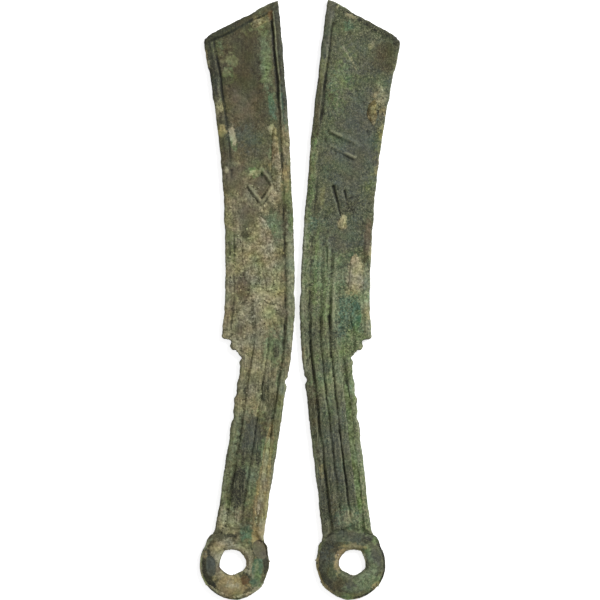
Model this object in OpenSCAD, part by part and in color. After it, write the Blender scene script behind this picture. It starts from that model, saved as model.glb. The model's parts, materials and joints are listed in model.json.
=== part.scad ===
// Knife-shaped bronze coin, cast in one pour: a curved blade with raised rims, a ribbed grip
// and a pierced ring, with the crusts of soil and green copper mineral that burial left on it.
// The coin lies on one surface twice: the left one with its obverse up, the right one turned over.
// All sizes are in millimetres. A coin is drawn about the centre of its ring, with the blade
// along +Y, its back towards +X, the obverse up and the middle of its thickness at Z 0.

/* [Ring] */
// Outer diameter of the ring
ring_d = 16.1; // [15:0.1:19]
// Width of the rounded slope round the ring's outside
ring_slope_w = 2; // [1:0.1:2.4]
// Diameter of the hole through the ring
hole_d = 6.1; // [4:0.1:7]
// How far the hole lies off the ring's centre, towards the edge
hole_shift_x = 0.4; // [0:0.1:0.6]
// How far the hole lies off the ring's centre, towards the grip
hole_shift_y = 0.5; // [0:0.1:0.6]
// Width of the rounded lip of the hole
hole_lip_w = 0.9; // [0.4:0.1:1.2]
// Height of the straight wall inside the hole
hole_wall = 0.8; // [0.5:0.05:1.3]
// Height of the ring's outer wall
ring_edge_t = 1; // [0.85:0.05:1.4]

/* [Grip] */
// Width of the grip
grip_w = 11.2; // [9.5:0.1:13]
// Lean of the grip from the length of the coin, in degrees
grip_lean = 8.7; // [4:0.1:12]
// Height above the ring's centre at which the grip's edge meets the heel
grip_h = 47.8; // [40:0.2:56]
// Thickness of the neck where the grip runs into the ring
neck_t = 0.6; // [0.4:0.05:0.8]
// Length of the slope from the neck up to the grip's ridges
neck_slope = 0.8; // [0.4:0.1:1.5]
// Softness of the bend between the grip's back and the blade's back
bend_soft = 1.2; // [0.4:0.1:3]

/* [Blade] */
// Height of the heel, from the end of the grip to the heel's point
heel_h = 4.9; // [3:0.1:7]
// Length of the blade's back, from the heel's point to the tip
blade_h = 77.4; // [60:0.1:95]
// Width of the blade at its waist
waist_w = 15.8; // [14.5:0.1:19]
// Height of the waist above the heel's point
waist_h = 15.3; // [8:0.1:25]
// Radius of the curve along the back
back_r = 740; // [500:10:1500]
// Radius of the curve along the edge
edge_r = 280; // [180:5:600]
// How far the heel's point flares out past the edge's curve
heel_flare = 0.6; // [0:0.1:1.5]
// How much lower the edge's corner lies than the tip
tip_drop = 8.5; // [4:0.1:12]

/* [Relief] */
// Thickness over the rims and over the ring
rim_t = 1.7; // [1.5:0.05:2.6]
// Thickness of the sunk field of the blade
field_t = 0.75; // [0.5:0.05:1]
// Width of the rim along the back
back_rim_w = 1.9; // [1.2:0.1:2.4]
// Width of the rim along the edge
edge_rim_w = 1.6; // [1:0.1:2.2]
// Width of the rim along the cut of the tip
tip_rim_w = 1.3; // [0.8:0.1:2.2]
// Width of a rim's inner slope
slope_w = 0.4; // [0.2:0.05:0.7]
// Rounding of the outer edges
edge_round = 0.3; // [0.1:0.05:0.5]
// Height of the edge's rim, as a share of the back rim's height
edge_rim_share = 0.8; // [0.5:0.05:1]
// Height of the grip's ridges, as a share of the back rim's height
ridge_share = 0.85; // [0.5:0.05:1]
// Half the width of a groove between ridges
groove_half_w = 0.4; // [0.2:0.05:0.6]
// Number of ridges along the grip on the obverse
obverse_ridges = 2; // [1:1:4]
// Number of ridges along the grip on the reverse
reverse_ridges = 3; // [1:1:4]
// How far the obverse's ridges run up the blade above the grip
obverse_run = 12; // [4:1:30]
// How far the reverse's ridges run up the blade above the grip
reverse_run = 26; // [4:1:40]

/* [Crusts] */
// Thickness of a soil crust at its middle
soil_t = 0.32; // [0.1:0.02:0.6]
// Thickness of a green crust at its middle
green_t = 0.26; // [0.1:0.02:0.6]
// Thickness of a crust at its rim
crust_edge_t = 0.05; // [0.02:0.01:0.1]
// Clearance between a crust and the metal under it
seat_gap = 0.03; // [0.02:0.01:0.05]
// Length of the soil by the tip
tip_soil_l = 1.8; // [1:0.1:2.4]
// Width of the soil by the tip
tip_soil_w = 4.6; // [2:0.1:7]
// Length of the soil along the back
back_soil_l = 17; // [6:0.5:24]
// Width of the soil along the back
back_soil_w = 2.4; // [1:0.1:4]
// Length of the soil on the lower blade
blade_soil_l = 18; // [6:0.5:20]
// Width of the soil on the lower blade
blade_soil_w = 8.4; // [3:0.1:9]
// Length of the soil in the groove along the grip's back
grip_soil_l = 18; // [6:0.5:20]
// Width of the soil on the ring's slope
ring_soil_w = 1.1; // [0.6:0.1:1.4]
// Length of the soil inside the edge's rim
edge_soil_l = 6.8; // [3:0.1:12]
// Width of the soil inside the edge's rim
edge_soil_w = 2.6; // [1:0.1:4]
// Length of the soil above the reverse's ridges
root_soil_l = 3.4; // [1:0.1:5]
// Width of the soil above the reverse's ridges
root_soil_w = 2.2; // [1:0.1:4]
// Length of the soil beside the reverse's ridges
mid_soil_l = 9.2; // [3:0.1:12]
// Width of the soil beside the reverse's ridges
mid_soil_w = 3; // [1:0.1:3.4]
// Length of the green crust above the heel
heel_green_l = 7.2; // [3:0.1:7.6]
// Width of the green crust above the heel
heel_green_w = 2.8; // [1:0.1:3.2]
// Length of the green crust in the groove along the grip's edge
grip_green_l = 30; // [6:0.5:32]

/* [Layout] */
// Narrowest gap between the two coins
pair_gap = 1.2; // [0.5:0.1:10]
// Turn of the right coin, clockwise in degrees
right_turn = 2.1; // [0:0.1:6]

/* [Hidden] */

OBVERSE = 1;
REVERSE = -1;

ring_r = ring_d / 2;
hole_r = hole_d / 2;
half_t = rim_t / 2;
field_z = field_t / 2;
relief_h = half_t - field_z;
edge_rim_h = relief_h * edge_rim_share;
ridge_h = relief_h * ridge_share;
heel_y = grip_h + heel_h;
waist_y = heel_y + waist_h;
tip_y = heel_y + blade_h;
bend_y = heel_y + heel_h / 4;

// The grip's root is buried in the ring, clear of the hole, and its neck runs out past the ring's wall.
root_clear = 0.8;
neck_run = 0.15;
root_a = hole_r + norm([hole_shift_x, hole_shift_y]) + root_clear;
neck_r = ring_r + neck_run;
neck_z = neck_t / 2;
// How far the last groove stays inside the edge's rim
groove_inset = 0.2;
// Depth of the stations that are set close together under the tip
tip_zone = 1.6 * tip_rim_w;
// How far a cut runs past the face that it opens
cut_past = 1;

// Counts of stations along the grip, the heel, the blade and the tip's rim
GRIP_STEPS = 9;
HEEL_STEPS = 9;
BLADE_STEPS = 16;
TIP_STEPS = 4;
// Counts of points across the flat field and around half the ring's section
FIELD_STEPS = 3;
RING_STEPS = 7;
// Counts of rings and spokes in a crust, and of steps along a filled groove
CRUST_RINGS = 3;
CRUST_SPOKES = 14;
FILL_STEPS = 8;
// Depth of a filled groove at its middle, as a share of the groove's depth, and at its ends, as a
// share of the middle's
FILL = 0.85;
FILL_END = 0.15;
// Distance from a rim to the middle of a crust beside it, as a share of the crust's width
RIM_CLEAR = 0.62;

BRONZE = [0.33, 0.33, 0.24];
SOIL = [0.60, 0.54, 0.40];
GREEN = [0.27, 0.42, 0.32];

function clamp01(t) = min(1, max(0, t));
function smooth(t) = let (u = clamp01(t)) u * u * (3 - 2 * u);
function mix(a, b, t) = a + (b - a) * t;
// The smaller of two values, with a soft turn of width k between them
function soft_min(a, b, k) = let (h = max(k - abs(a - b), 0) / k) min(a, b) - h * h * k / 4;

// Outline: the back and the edge as X over Y
function grip_line(y, side) = side * grip_w / 2 / cos(grip_lean) + y * tan(grip_lean);
function blade_back(y) = grip_line(bend_y, 1) - pow(y - bend_y, 2) / (2 * back_r);
function blade_edge(y) = blade_back(waist_y) - waist_w - pow(y - waist_y, 2) / (2 * edge_r)
    - heel_flare * pow(clamp01((waist_y - y) / waist_h), 3);
// The heel is broken off in two scallops, with a step between these shares of its height.
LOW_SCALLOP = 0.35;
HIGH_SCALLOP = 0.72;
function heel_rise(y) = let (t = (y - grip_h) / heel_h)
    (smooth(t / LOW_SCALLOP) + smooth((t - HIGH_SCALLOP) / (1 - HIGH_SCALLOP))) / 2;
function back_x(y) = soft_min(grip_line(y, 1), blade_back(max(y, bend_y)), bend_soft);
function edge_x(y) = mix(grip_line(y, -1), blade_edge(y), heel_rise(y));

// A station joins a point of the back to a point of the edge, and slants towards the cut of the tip.
function slant(y) = tip_drop * smooth((y - waist_y) / (tip_y - waist_y - 2 * tip_rim_w));
function back_point(y) = [back_x(y), y];
function edge_point(y) = let (e = y - slant(y)) [edge_x(e), e];
function span(y) = norm(edge_point(y) - back_point(y));
function plan(y, d) = mix(back_point(y), edge_point(y), d / span(y));
// Near the ring a row of points is set out along the grip's axis, at a distance from the back of the grip.
grip_span = grip_w / cos(grip_lean);
function across_axis(d) = grip_w / 2 - d * cos(grip_lean);
function on_grip(along, across) = [
    across * cos(grip_lean) + along * sin(grip_lean), along * cos(grip_lean) - across * sin(grip_lean)];
function arc_plan(r, d) = let (o = across_axis(d)) on_grip(sqrt(r * r - o * o), o);
// Distance of a station from the cut of the tip, square to the cut
tip_lean = atan(tip_drop / waist_w);
function tip_gap(y) = (tip_y - y) * cos(tip_lean);

// Grooves of the grip, at fixed distances from the back
function ridges(face) = face == OBVERSE ? obverse_ridges : reverse_ridges;
function ridge_run(face) = face == OBVERSE ? obverse_run : reverse_run;
first_groove = back_rim_w + groove_half_w;
last_groove = grip_w - edge_rim_w - groove_half_w - groove_inset;
function groove(face, k) = mix(first_groove, last_groove, k / ridges(face));
function groove_floor(face, d) =
    max([for (k = [0:ridges(face)]) 1 - clamp01(abs(d - groove(face, k)) / groove_half_w)]);
function ridge_level(face, d) =
    d < first_groove || d > last_groove ? 0 : 1 - smooth(groove_floor(face, d));
function ridge_fade(face, y) = 1 - smooth((y - grip_h) / ridge_run(face));

// Height of one face over the middle plane, at distance d from the back along station y
function rim_level(d, w) = smooth((w - d) / slope_w);
function edge_drop(d) = pow(1 - clamp01(d / edge_round), 2) * edge_round;
function face_z(face, y, d) =
    let (
        left = span(y) - d,
        rim = relief_h * max(rim_level(d, back_rim_w), rim_level(tip_gap(y), tip_rim_w)),
        edge_rim = edge_rim_h * rim_level(left, edge_rim_w),
        ridge = ridge_h * ridge_fade(face, y) * ridge_level(face, d)
    )
    field_z + max(rim, edge_rim, ridge) - edge_drop(min(d, left, tip_gap(y)));

// Points across one face of width w, as distances from the back
function lanes(face, w) = concat(
    [0, edge_round, back_rim_w - slope_w, back_rim_w],
    [for (k = [0:ridges(face)]) each concat(
        k == 0 ? [] : [mix(groove(face, k - 1), groove(face, k), 0.5)],
        [for (s = [k == 0 ? -0.5 : -1, 0, 1]) groove(face, k) + s * groove_half_w])],
    [for (i = [1:FIELD_STEPS]) mix(last_groove + groove_half_w, w - edge_rim_w, i / FIELD_STEPS)],
    [w - edge_rim_w + slope_w, w - edge_round, w]
);

function steps(from, to, n) = [for (i = [0:n - 1]) mix(from, to, i / n)];
STATIONS = concat(
    steps(neck_r + 2 * neck_slope, grip_h, GRIP_STEPS),
    steps(grip_h, heel_y, HEEL_STEPS),
    steps(heel_y, tip_y - tip_zone, BLADE_STEPS),
    steps(tip_y - tip_zone, tip_y - edge_round, TIP_STEPS),
    [tip_y - edge_round, tip_y]
);

// One face from the root to the tip: a flat neck through the ring's wall, then the relief
function with_z(p, z) = [p.x, p.y, z];
function face_grid(face) = let (neck_lanes = lanes(face, grip_span)) concat(
    [[for (d = neck_lanes) with_z(on_grip(root_a, across_axis(d)), face * neck_z)]],
    [[for (d = neck_lanes) with_z(arc_plan(neck_r, d), face * neck_z)]],
    [[for (d = neck_lanes) with_z(arc_plan(neck_r + neck_slope, d), face * face_z(face, neck_r, d))]],
    [for (y = STATIONS) [for (d = lanes(face, span(y))) with_z(plan(y, d), face * face_z(face, y, d))]]
);

// Two triangles on the corners a, b, c, d of a quad
function quad(a, b, c, d) = [[a, b, c], [a, c, d]];
function flipped(faces, flip) = flip ? [for (f = faces) [f[2], f[1], f[0]]] : faces;
function grid_faces(rows, cols, start, flip) = flipped([for (i = [0:rows - 2]) for (j = [0:cols - 2])
    each quad(start + i * cols + j, start + i * cols + j + 1,
        start + (i + 1) * cols + j + 1, start + (i + 1) * cols + j)], flip);

// Triangles from one middle point to each side of a closed loop
function fan(middle, loop) = [for (i = [0:len(loop) - 1]) [middle, loop[i], loop[(i + 1) % len(loop)]]];

// The blade and grip as one loft: two relief faces, walls along the back and the edge, and two ends
module blade_and_grip() {
    top = face_grid(OBVERSE);
    under = face_grid(REVERSE);
    rows = len(top);
    cols = len(top[0]);
    under_cols = len(under[0]);
    last = rows - 1;
    under_start = rows * cols;
    ends_start = under_start + rows * under_cols;
    function top_at(i, j) = i * cols + j;
    function under_at(i, j) = under_start + i * under_cols + j;
    function middle_of(row) = with_z((row[0] + row[len(row) - 1]) / 2, 0);
    points = concat([for (row = top) each row], [for (row = under) each row],
        [middle_of(top[0]), middle_of(top[last])]);
    back_wall = [for (i = [0:last - 1])
        each quad(top_at(i, 0), top_at(i + 1, 0), under_at(i + 1, 0), under_at(i, 0))];
    edge_wall = [for (i = [0:last - 1]) each quad(top_at(i, cols - 1), under_at(i, under_cols - 1),
        under_at(i + 1, under_cols - 1), top_at(i + 1, cols - 1))];
    root_loop = concat([for (j = [cols - 1:-1:0]) top_at(0, j)],
        [for (j = [0:under_cols - 1]) under_at(0, j)]);
    tip_loop = concat([for (j = [0:cols - 1]) top_at(last, j)],
        [for (j = [under_cols - 1:-1:0]) under_at(last, j)]);
    polyhedron(points, concat(
        grid_faces(rows, cols, 0, false), grid_faces(rows, under_cols, under_start, true),
        back_wall, edge_wall, fan(ends_start, root_loop), fan(ends_start + 1, tip_loop)));
}

// A quarter round, rising from 0 to 1 as t does
function quarter_round(t) = sqrt(1 - pow(1 - clamp01(t), 2));

// Half height of the ring at radius r: a rounded slope up to a flat crest
function ring_z(r) = mix(ring_edge_t / 2, half_t, quarter_round((ring_r - r) / ring_slope_w));

// The ring as a disc, with a hole off its centre that has a rounded lip on both faces
module ring() {
    slope = [for (i = [0:RING_STEPS]) let (r = ring_r - ring_slope_w * i / RING_STEPS) [r, ring_z(r)]];
    wall_z = hole_wall / 2;
    lip = [for (i = [0:RING_STEPS]) let (t = i / RING_STEPS)
        [hole_r + hole_lip_w * (1 - quarter_round(1 - t)), mix(wall_z, half_t, t)]];
    above = half_t + cut_past;
    function mirrored(points) = [for (i = [len(points) - 1:-1:0]) [points[i].x, -points[i].y]];
    difference() {
        rotate_extrude($fn = 96) polygon(concat([[0, -half_t]], mirrored(slope), slope, [[0, half_t]]));
        translate([-hole_shift_x, hole_shift_y, 0])
            rotate_extrude($fn = 96) polygon(concat([[0, -above], [hole_r + hole_lip_w, -above]],
                mirrored(lip), lip, [[hole_r + hole_lip_w, above], [0, above]]));
    }
}

module casting() {
    color(BRONZE) union() {
        blade_and_grip();
        ring();
    }
}

// A crust's outline wavers round an ellipse, from 0 at its middle to 1 at its rim.
WAVER_3 = 0.13;
WAVER_5 = 0.08;
function waver(a, phase) = 1 + WAVER_3 * sin(3 * a + phase) + WAVER_5 * sin(5 * a - 2 * phase);
function crust_grid(phase) = [for (i = [1:CRUST_RINGS]) for (k = [0:CRUST_SPOKES - 1])
    let (a = 360 * k / CRUST_SPOKES, t = i / CRUST_RINGS, r = t * waver(a, phase))
        [r * cos(a), r * sin(a), t]];
function dome(t) = sqrt(1 - t * t);

// A crust as one closed sheet: its seat follows the metal and its top stays under the rim plane.
// Each seat point is [x, y, height of the metal, share of the way to the crust's rim].
module crust(seat, face, thickness, tint) {
    top = half_t - seat_gap;
    floor_points = [for (p = seat) [p.x, p.y, face * min(p.z + seat_gap, top - crust_edge_t)]];
    top_points = [for (p = seat) [p.x, p.y,
        face * min(p.z + seat_gap + crust_edge_t + thickness * dome(p[3]), top)]];
    n = len(seat);
    spokes = CRUST_SPOKES;
    function next(k) = (k + 1) % spokes;
    function sheet(start) = concat(
        [for (k = [0:spokes - 1]) [start, start + 1 + k, start + 1 + next(k)]],
        [for (i = [0:CRUST_RINGS - 2]) for (k = [0:spokes - 1])
            each quad(start + 1 + i * spokes + k, start + 1 + (i + 1) * spokes + k,
                start + 1 + (i + 1) * spokes + next(k), start + 1 + i * spokes + next(k))]);
    rim = 1 + (CRUST_RINGS - 1) * spokes;
    wall = [for (k = [0:spokes - 1]) each quad(rim + k, n + rim + k, n + rim + next(k), rim + next(k))];
    up = face == OBVERSE;
    color(tint) polyhedron(concat(floor_points, top_points), concat(
        flipped(sheet(0), !up), flipped(sheet(n), up), flipped(wall, !up)));
}

// Places along the blade, along the grip, and just inside a rim, for a crust of the given width
function up_blade(share) = mix(heel_y, tip_y, share);
function up_grip(share) = mix(ring_r, grip_h, share);
function inside_back(w) = back_rim_w + w * RIM_CLEAR;
function inside_edge(y, w) = span(y) - edge_rim_w - w * RIM_CLEAR;

// A domed crust of length l and width w on the blade's field, about the point d from the back at station y
module field_crust(face, y, d, l, w, thickness, tint, phase = 0) {
    function seat_point(q) = let (sy = y + l / 2 * q.x, sd = d + w / 2 * q.y, p = plan(sy, sd))
        [p.x, p.y, face_z(face, sy, sd), q.z];
    crust([for (q = concat([[0, 0, 0]], crust_grid(phase))) seat_point(q)], face, thickness, tint);
}

// A deposit in a groove whose floor runs from a to b off the back. Its walls run out by out_a and out_b for
// each unit of height. It is deepest at its middle, where its height is h, and thins to its ends.
module groove_crust(face, y, l, a, b, out_a, out_b, h, tint) {
    n = FILL_STEPS;
    function top(t) = h * mix(FILL_END, 1, dome(abs(2 * t - 1)));
    function section(sy, z) = [
        for (q = [[a - out_a * z, z], [a, 0], [b, 0], [b + out_b * z, z]])
            with_z(plan(sy, q.x), face * (field_z + seat_gap + q.y))];
    points = [for (i = [0:n]) each section(y + l * (i / n - 0.5), top(i / n))];
    walls = [for (i = [0:n - 1]) for (k = [0:3])
        each quad(4 * i + k, 4 * i + (k + 1) % 4, 4 * i + 4 + (k + 1) % 4, 4 * i + 4 + k)];
    ends = concat(quad(3, 2, 1, 0), quad(4 * n, 4 * n + 1, 4 * n + 2, 4 * n + 3));
    color(tint) polyhedron(points, flipped(concat(walls, ends), face == OBVERSE));
}

// A crust on the outer slope of the ring: the ring's own slope, raised and cut to a wavering sector
module ring_crust(face, direction, half_angle, w, thickness, tint, phase = 0) {
    slope = ring_slope_w / RING_STEPS;
    rows = [for (i = [1:RING_STEPS]) if (slope * i <= w) ring_r - slope * i];
    function seat_z(r) = ring_z(r) + seat_gap;
    seat = [for (r = rows) [r, seat_z(r)]];
    function top_z(r) = min(seat_z(r) + thickness, half_t - seat_gap);
    top = [for (i = [len(rows) - 1:-1:0]) [rows[i], top_z(rows[i])]];
    sector = [for (q = crust_grid(phase)) if (q.z == 1)
        let (a = direction + half_angle * q.x, r = ring_r + (q.y - 1) * w / 2) [r * cos(a), r * sin(a)]];
    color(tint) mirror([0, 0, face == OBVERSE ? 0 : 1]) intersection() {
        rotate_extrude($fn = 96) polygon(concat(seat, top));
        linear_extrude(half_t) polygon(sector);
    }
}

// Crusts of the obverse
module tip_soil() {
    y = tip_y - tip_rim_w / cos(tip_lean) - tip_soil_l * RIM_CLEAR;
    field_crust(OBVERSE, y, span(y) * 0.28, tip_soil_l, tip_soil_w, soil_t, SOIL, 20);
}
module back_soil() {
    d = inside_back(back_soil_w);
    field_crust(OBVERSE, up_blade(0.53), d, back_soil_l, back_soil_w, soil_t, SOIL, 70);
}
module blade_soil() {
    y = up_blade(0.24);
    field_crust(OBVERSE, y, span(y) / 2, blade_soil_l, blade_soil_w, soil_t * 0.7, SOIL, 140);
}
module grip_soil() {
    groove_crust(OBVERSE, up_grip(0.31), grip_soil_l, back_rim_w, first_groove,
        slope_w / relief_h, groove_half_w / ridge_h, FILL * ridge_h, SOIL);
}
module ring_soil() { ring_crust(OBVERSE, -100, 42, ring_soil_w, soil_t / 2, SOIL, 35); }

// Crusts of the reverse
module edge_soil() {
    y = up_blade(0.74);
    field_crust(REVERSE, y, inside_edge(y, edge_soil_w), edge_soil_l, edge_soil_w, soil_t, SOIL, 10);
}
module root_soil() {
    y = up_blade(0.34);
    field_crust(REVERSE, y, span(y) * 0.55, root_soil_l, root_soil_w, soil_t, SOIL, 90);
}
module mid_soil() {
    y = up_blade(0.19);
    field_crust(REVERSE, y, inside_edge(y, mid_soil_w), mid_soil_l, mid_soil_w, soil_t, SOIL, 160);
}
module heel_green() {
    y = up_blade(0.062);
    field_crust(REVERSE, y, inside_edge(y, heel_green_w), heel_green_l, heel_green_w, green_t, GREEN, 230);
}
module grip_green() {
    groove_crust(REVERSE, up_grip(0.465), grip_green_l, last_groove, grip_span - edge_rim_w,
        groove_half_w / ridge_h, slope_w / edge_rim_h, FILL * min(edge_rim_h, ridge_h), GREEN);
}

// Layout: the two outlines side by side, with the origin under the middle of their common box
function turned(p, a) = [p.x * cos(a) - p.y * sin(a), p.x * sin(a) + p.y * cos(a)];
left_outline = concat([for (y = STATIONS) back_point(y)], [for (y = STATIONS) edge_point(y)]);
right_outline = [for (p = left_outline) turned([-p.x, p.y], -right_turn)];
function lowest_x(points) = min(-ring_r, min([for (p = points) p.x]));
function highest_x(points) = max(ring_r, max([for (p = points) p.x]));
left_w = highest_x(left_outline) - lowest_x(left_outline);
right_w = highest_x(right_outline) - lowest_x(right_outline);
pair_w = left_w + pair_gap + right_w;
pair_l = ring_r + max([for (p = concat(left_outline, right_outline)) p.y]);
ring_y = ring_r - pair_l / 2;
left_x = -pair_w / 2 - lowest_x(left_outline);
right_x = pair_w / 2 - highest_x(right_outline);

module left_coin() { translate([left_x, ring_y, half_t]) children(); }
module right_coin() {
    translate([right_x, ring_y, half_t]) rotate([0, 0, -right_turn]) rotate([0, 180, 0]) children();
}

left_coin() casting();  // left_casting
left_coin() tip_soil();  // left_tip_soil
left_coin() back_soil();  // left_back_soil
left_coin() blade_soil();  // left_blade_soil
left_coin() grip_soil();  // left_grip_soil
left_coin() ring_soil();  // left_ring_soil
left_coin() edge_soil();  // left_edge_soil
left_coin() root_soil();  // left_root_soil
left_coin() mid_soil();  // left_mid_soil
left_coin() heel_green();  // left_heel_green
left_coin() grip_green();  // left_grip_green
right_coin() casting();  // right_casting
right_coin() tip_soil();  // right_tip_soil
right_coin() back_soil();  // right_back_soil
right_coin() blade_soil();  // right_blade_soil
right_coin() grip_soil();  // right_grip_soil
right_coin() ring_soil();  // right_ring_soil
right_coin() edge_soil();  // right_edge_soil
right_coin() root_soil();  // right_root_soil
right_coin() mid_soil();  // right_mid_soil
right_coin() heel_green();  // right_heel_green
right_coin() grip_green();  // right_grip_green
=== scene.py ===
"""Looks of a knife-shaped bronze coin: a corroded casting under crusts of soil and green copper mineral.

One coin is worked out in millimetres about the centre of its ring, blade towards +Y, back towards +X and
obverse up. It is then set out twice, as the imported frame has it: obverse up on the left, turned over on
the right.
"""

import json
import logging
import math
from dataclasses import dataclass
from enum import Enum
from typing import Any, Sequence

import bmesh
import bpy
import numpy as np
from mathutils import Matrix, Vector, noise
from mathutils.bvhtree import BVHTree


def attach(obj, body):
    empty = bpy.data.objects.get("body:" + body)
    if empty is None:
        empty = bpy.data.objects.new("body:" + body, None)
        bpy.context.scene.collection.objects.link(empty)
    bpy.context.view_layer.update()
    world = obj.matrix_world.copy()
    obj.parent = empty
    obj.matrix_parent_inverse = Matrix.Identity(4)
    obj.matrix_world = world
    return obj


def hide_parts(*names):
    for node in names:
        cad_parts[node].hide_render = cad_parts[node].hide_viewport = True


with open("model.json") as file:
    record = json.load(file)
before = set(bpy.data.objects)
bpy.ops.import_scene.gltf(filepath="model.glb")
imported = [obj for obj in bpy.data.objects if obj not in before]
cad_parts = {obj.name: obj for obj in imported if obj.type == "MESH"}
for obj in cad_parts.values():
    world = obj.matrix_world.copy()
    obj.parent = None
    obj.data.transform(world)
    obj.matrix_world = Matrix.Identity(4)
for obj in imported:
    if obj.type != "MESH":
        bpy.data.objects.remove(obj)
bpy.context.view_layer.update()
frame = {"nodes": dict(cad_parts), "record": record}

LOG = logging.getLogger("knife_coin")
MM = 0.001
Colour = tuple[float, float, float, float]
Socket = bpy.types.NodeSocket

# Half of the thickness over the crest of the ring, in the coin's millimetres
HALF_T = 0.85
# Centre of the hole, from the centre of the ring
HOLE = (-0.4, 0.5)


class Face(Enum):
    """The two faces of the coin, by the side of its mid-thickness that they lie on."""

    OBVERSE = 1
    REVERSE = -1


class Rim(Enum):
    """The three rims that a line, a strip or a worn stretch may follow."""

    BACK = "back"
    EDGE = "edge"
    TIP = "tip"


class Tint(Enum):
    """Colours on the bronze, each covering those before it: mostly what burial left, and on the ring's outer
    bevel also painted shade and painted light.

    Each value is the mesh attribute that holds the tint's places.
    """

    EARTH = "tint_earth"
    UMBER = "tint_umber"
    OLIVE = "tint_olive"
    VERDIGRIS = "tint_verdigris"
    TEAL = "tint_teal"
    SAGE = "tint_sage"
    # Dark patina, and on the ring's outer bevel also painted shade
    SOOT = "tint_soot"
    OCHRE = "tint_ochre"
    RUST = "tint_rust"
    SLATE = "tint_slate"
    PLUM = "tint_plum"
    LIME = "tint_lime"
    CREAM = "tint_cream"


def srgb(red: int, green: int, blue: int) -> Colour:
    """Linear colour of an sRGB colour.

    Args:
        red: red from 0 to 255.
        green: green from 0 to 255.
        blue: blue from 0 to 255.

    Returns:
        The colour as a shader takes it.
    """
    parts = (value / 255 for value in (red, green, blue))
    linear = [((part + 0.055) / 1.055) ** 2.4 if part > 0.04045 else part / 12.92 for part in parts]
    return (linear[0], linear[1], linear[2], 1.0)


def smooth_step(values: np.ndarray, low: float, high: float) -> np.ndarray:
    """0 at low and 1 at high, with a smooth passage between them."""
    share = np.clip((values - low) / (high - low), 0.0, 1.0)
    return share * share * (3.0 - 2.0 * share)


def bell(offset: np.ndarray, half_w: float) -> np.ndarray:
    """1 where the offset is 0, falling off on both sides over a half width."""
    across = offset / half_w
    return np.exp(-across * across)


def stretch(points: np.ndarray, low: float, high: float, fade: float) -> np.ndarray:
    """A stretch of the coin's length.

    Args:
        points: places in the coin's millimetres, one row each.
        low: where the stretch begins along Y.
        high: where it ends.
        fade: how far it fades to either side of both ends.

    Returns:
        1 at points inside the stretch and 0 outside.
    """
    run = smooth_step(points[:, 1], low - fade, low + fade)
    return run * (1.0 - smooth_step(points[:, 1], high - fade, high + fade))


def turned(points: np.ndarray, x: float, y: float, turn: float) -> tuple[np.ndarray, np.ndarray]:
    """How far points lie from a place, along axes that are turned about it.

    Args:
        points: places in the coin's millimetres, one row each.
        x: the place's X.
        y: the place's Y.
        turn: the turn of its axes in degrees.

    Returns:
        The offsets along the two turned axes.
    """
    angle = math.radians(turn)
    away_x = points[:, 0] - x
    away_y = points[:, 1] - y
    along_x = away_x * math.cos(angle) + away_y * math.sin(angle)
    along_y = away_y * math.cos(angle) - away_x * math.sin(angle)
    return along_x, along_y


def on_face(items: Sequence[Any], face: Face) -> list[Any]:
    """Those items of a list that lie on one face."""
    return [item for item in items if item.face is face]


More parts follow.
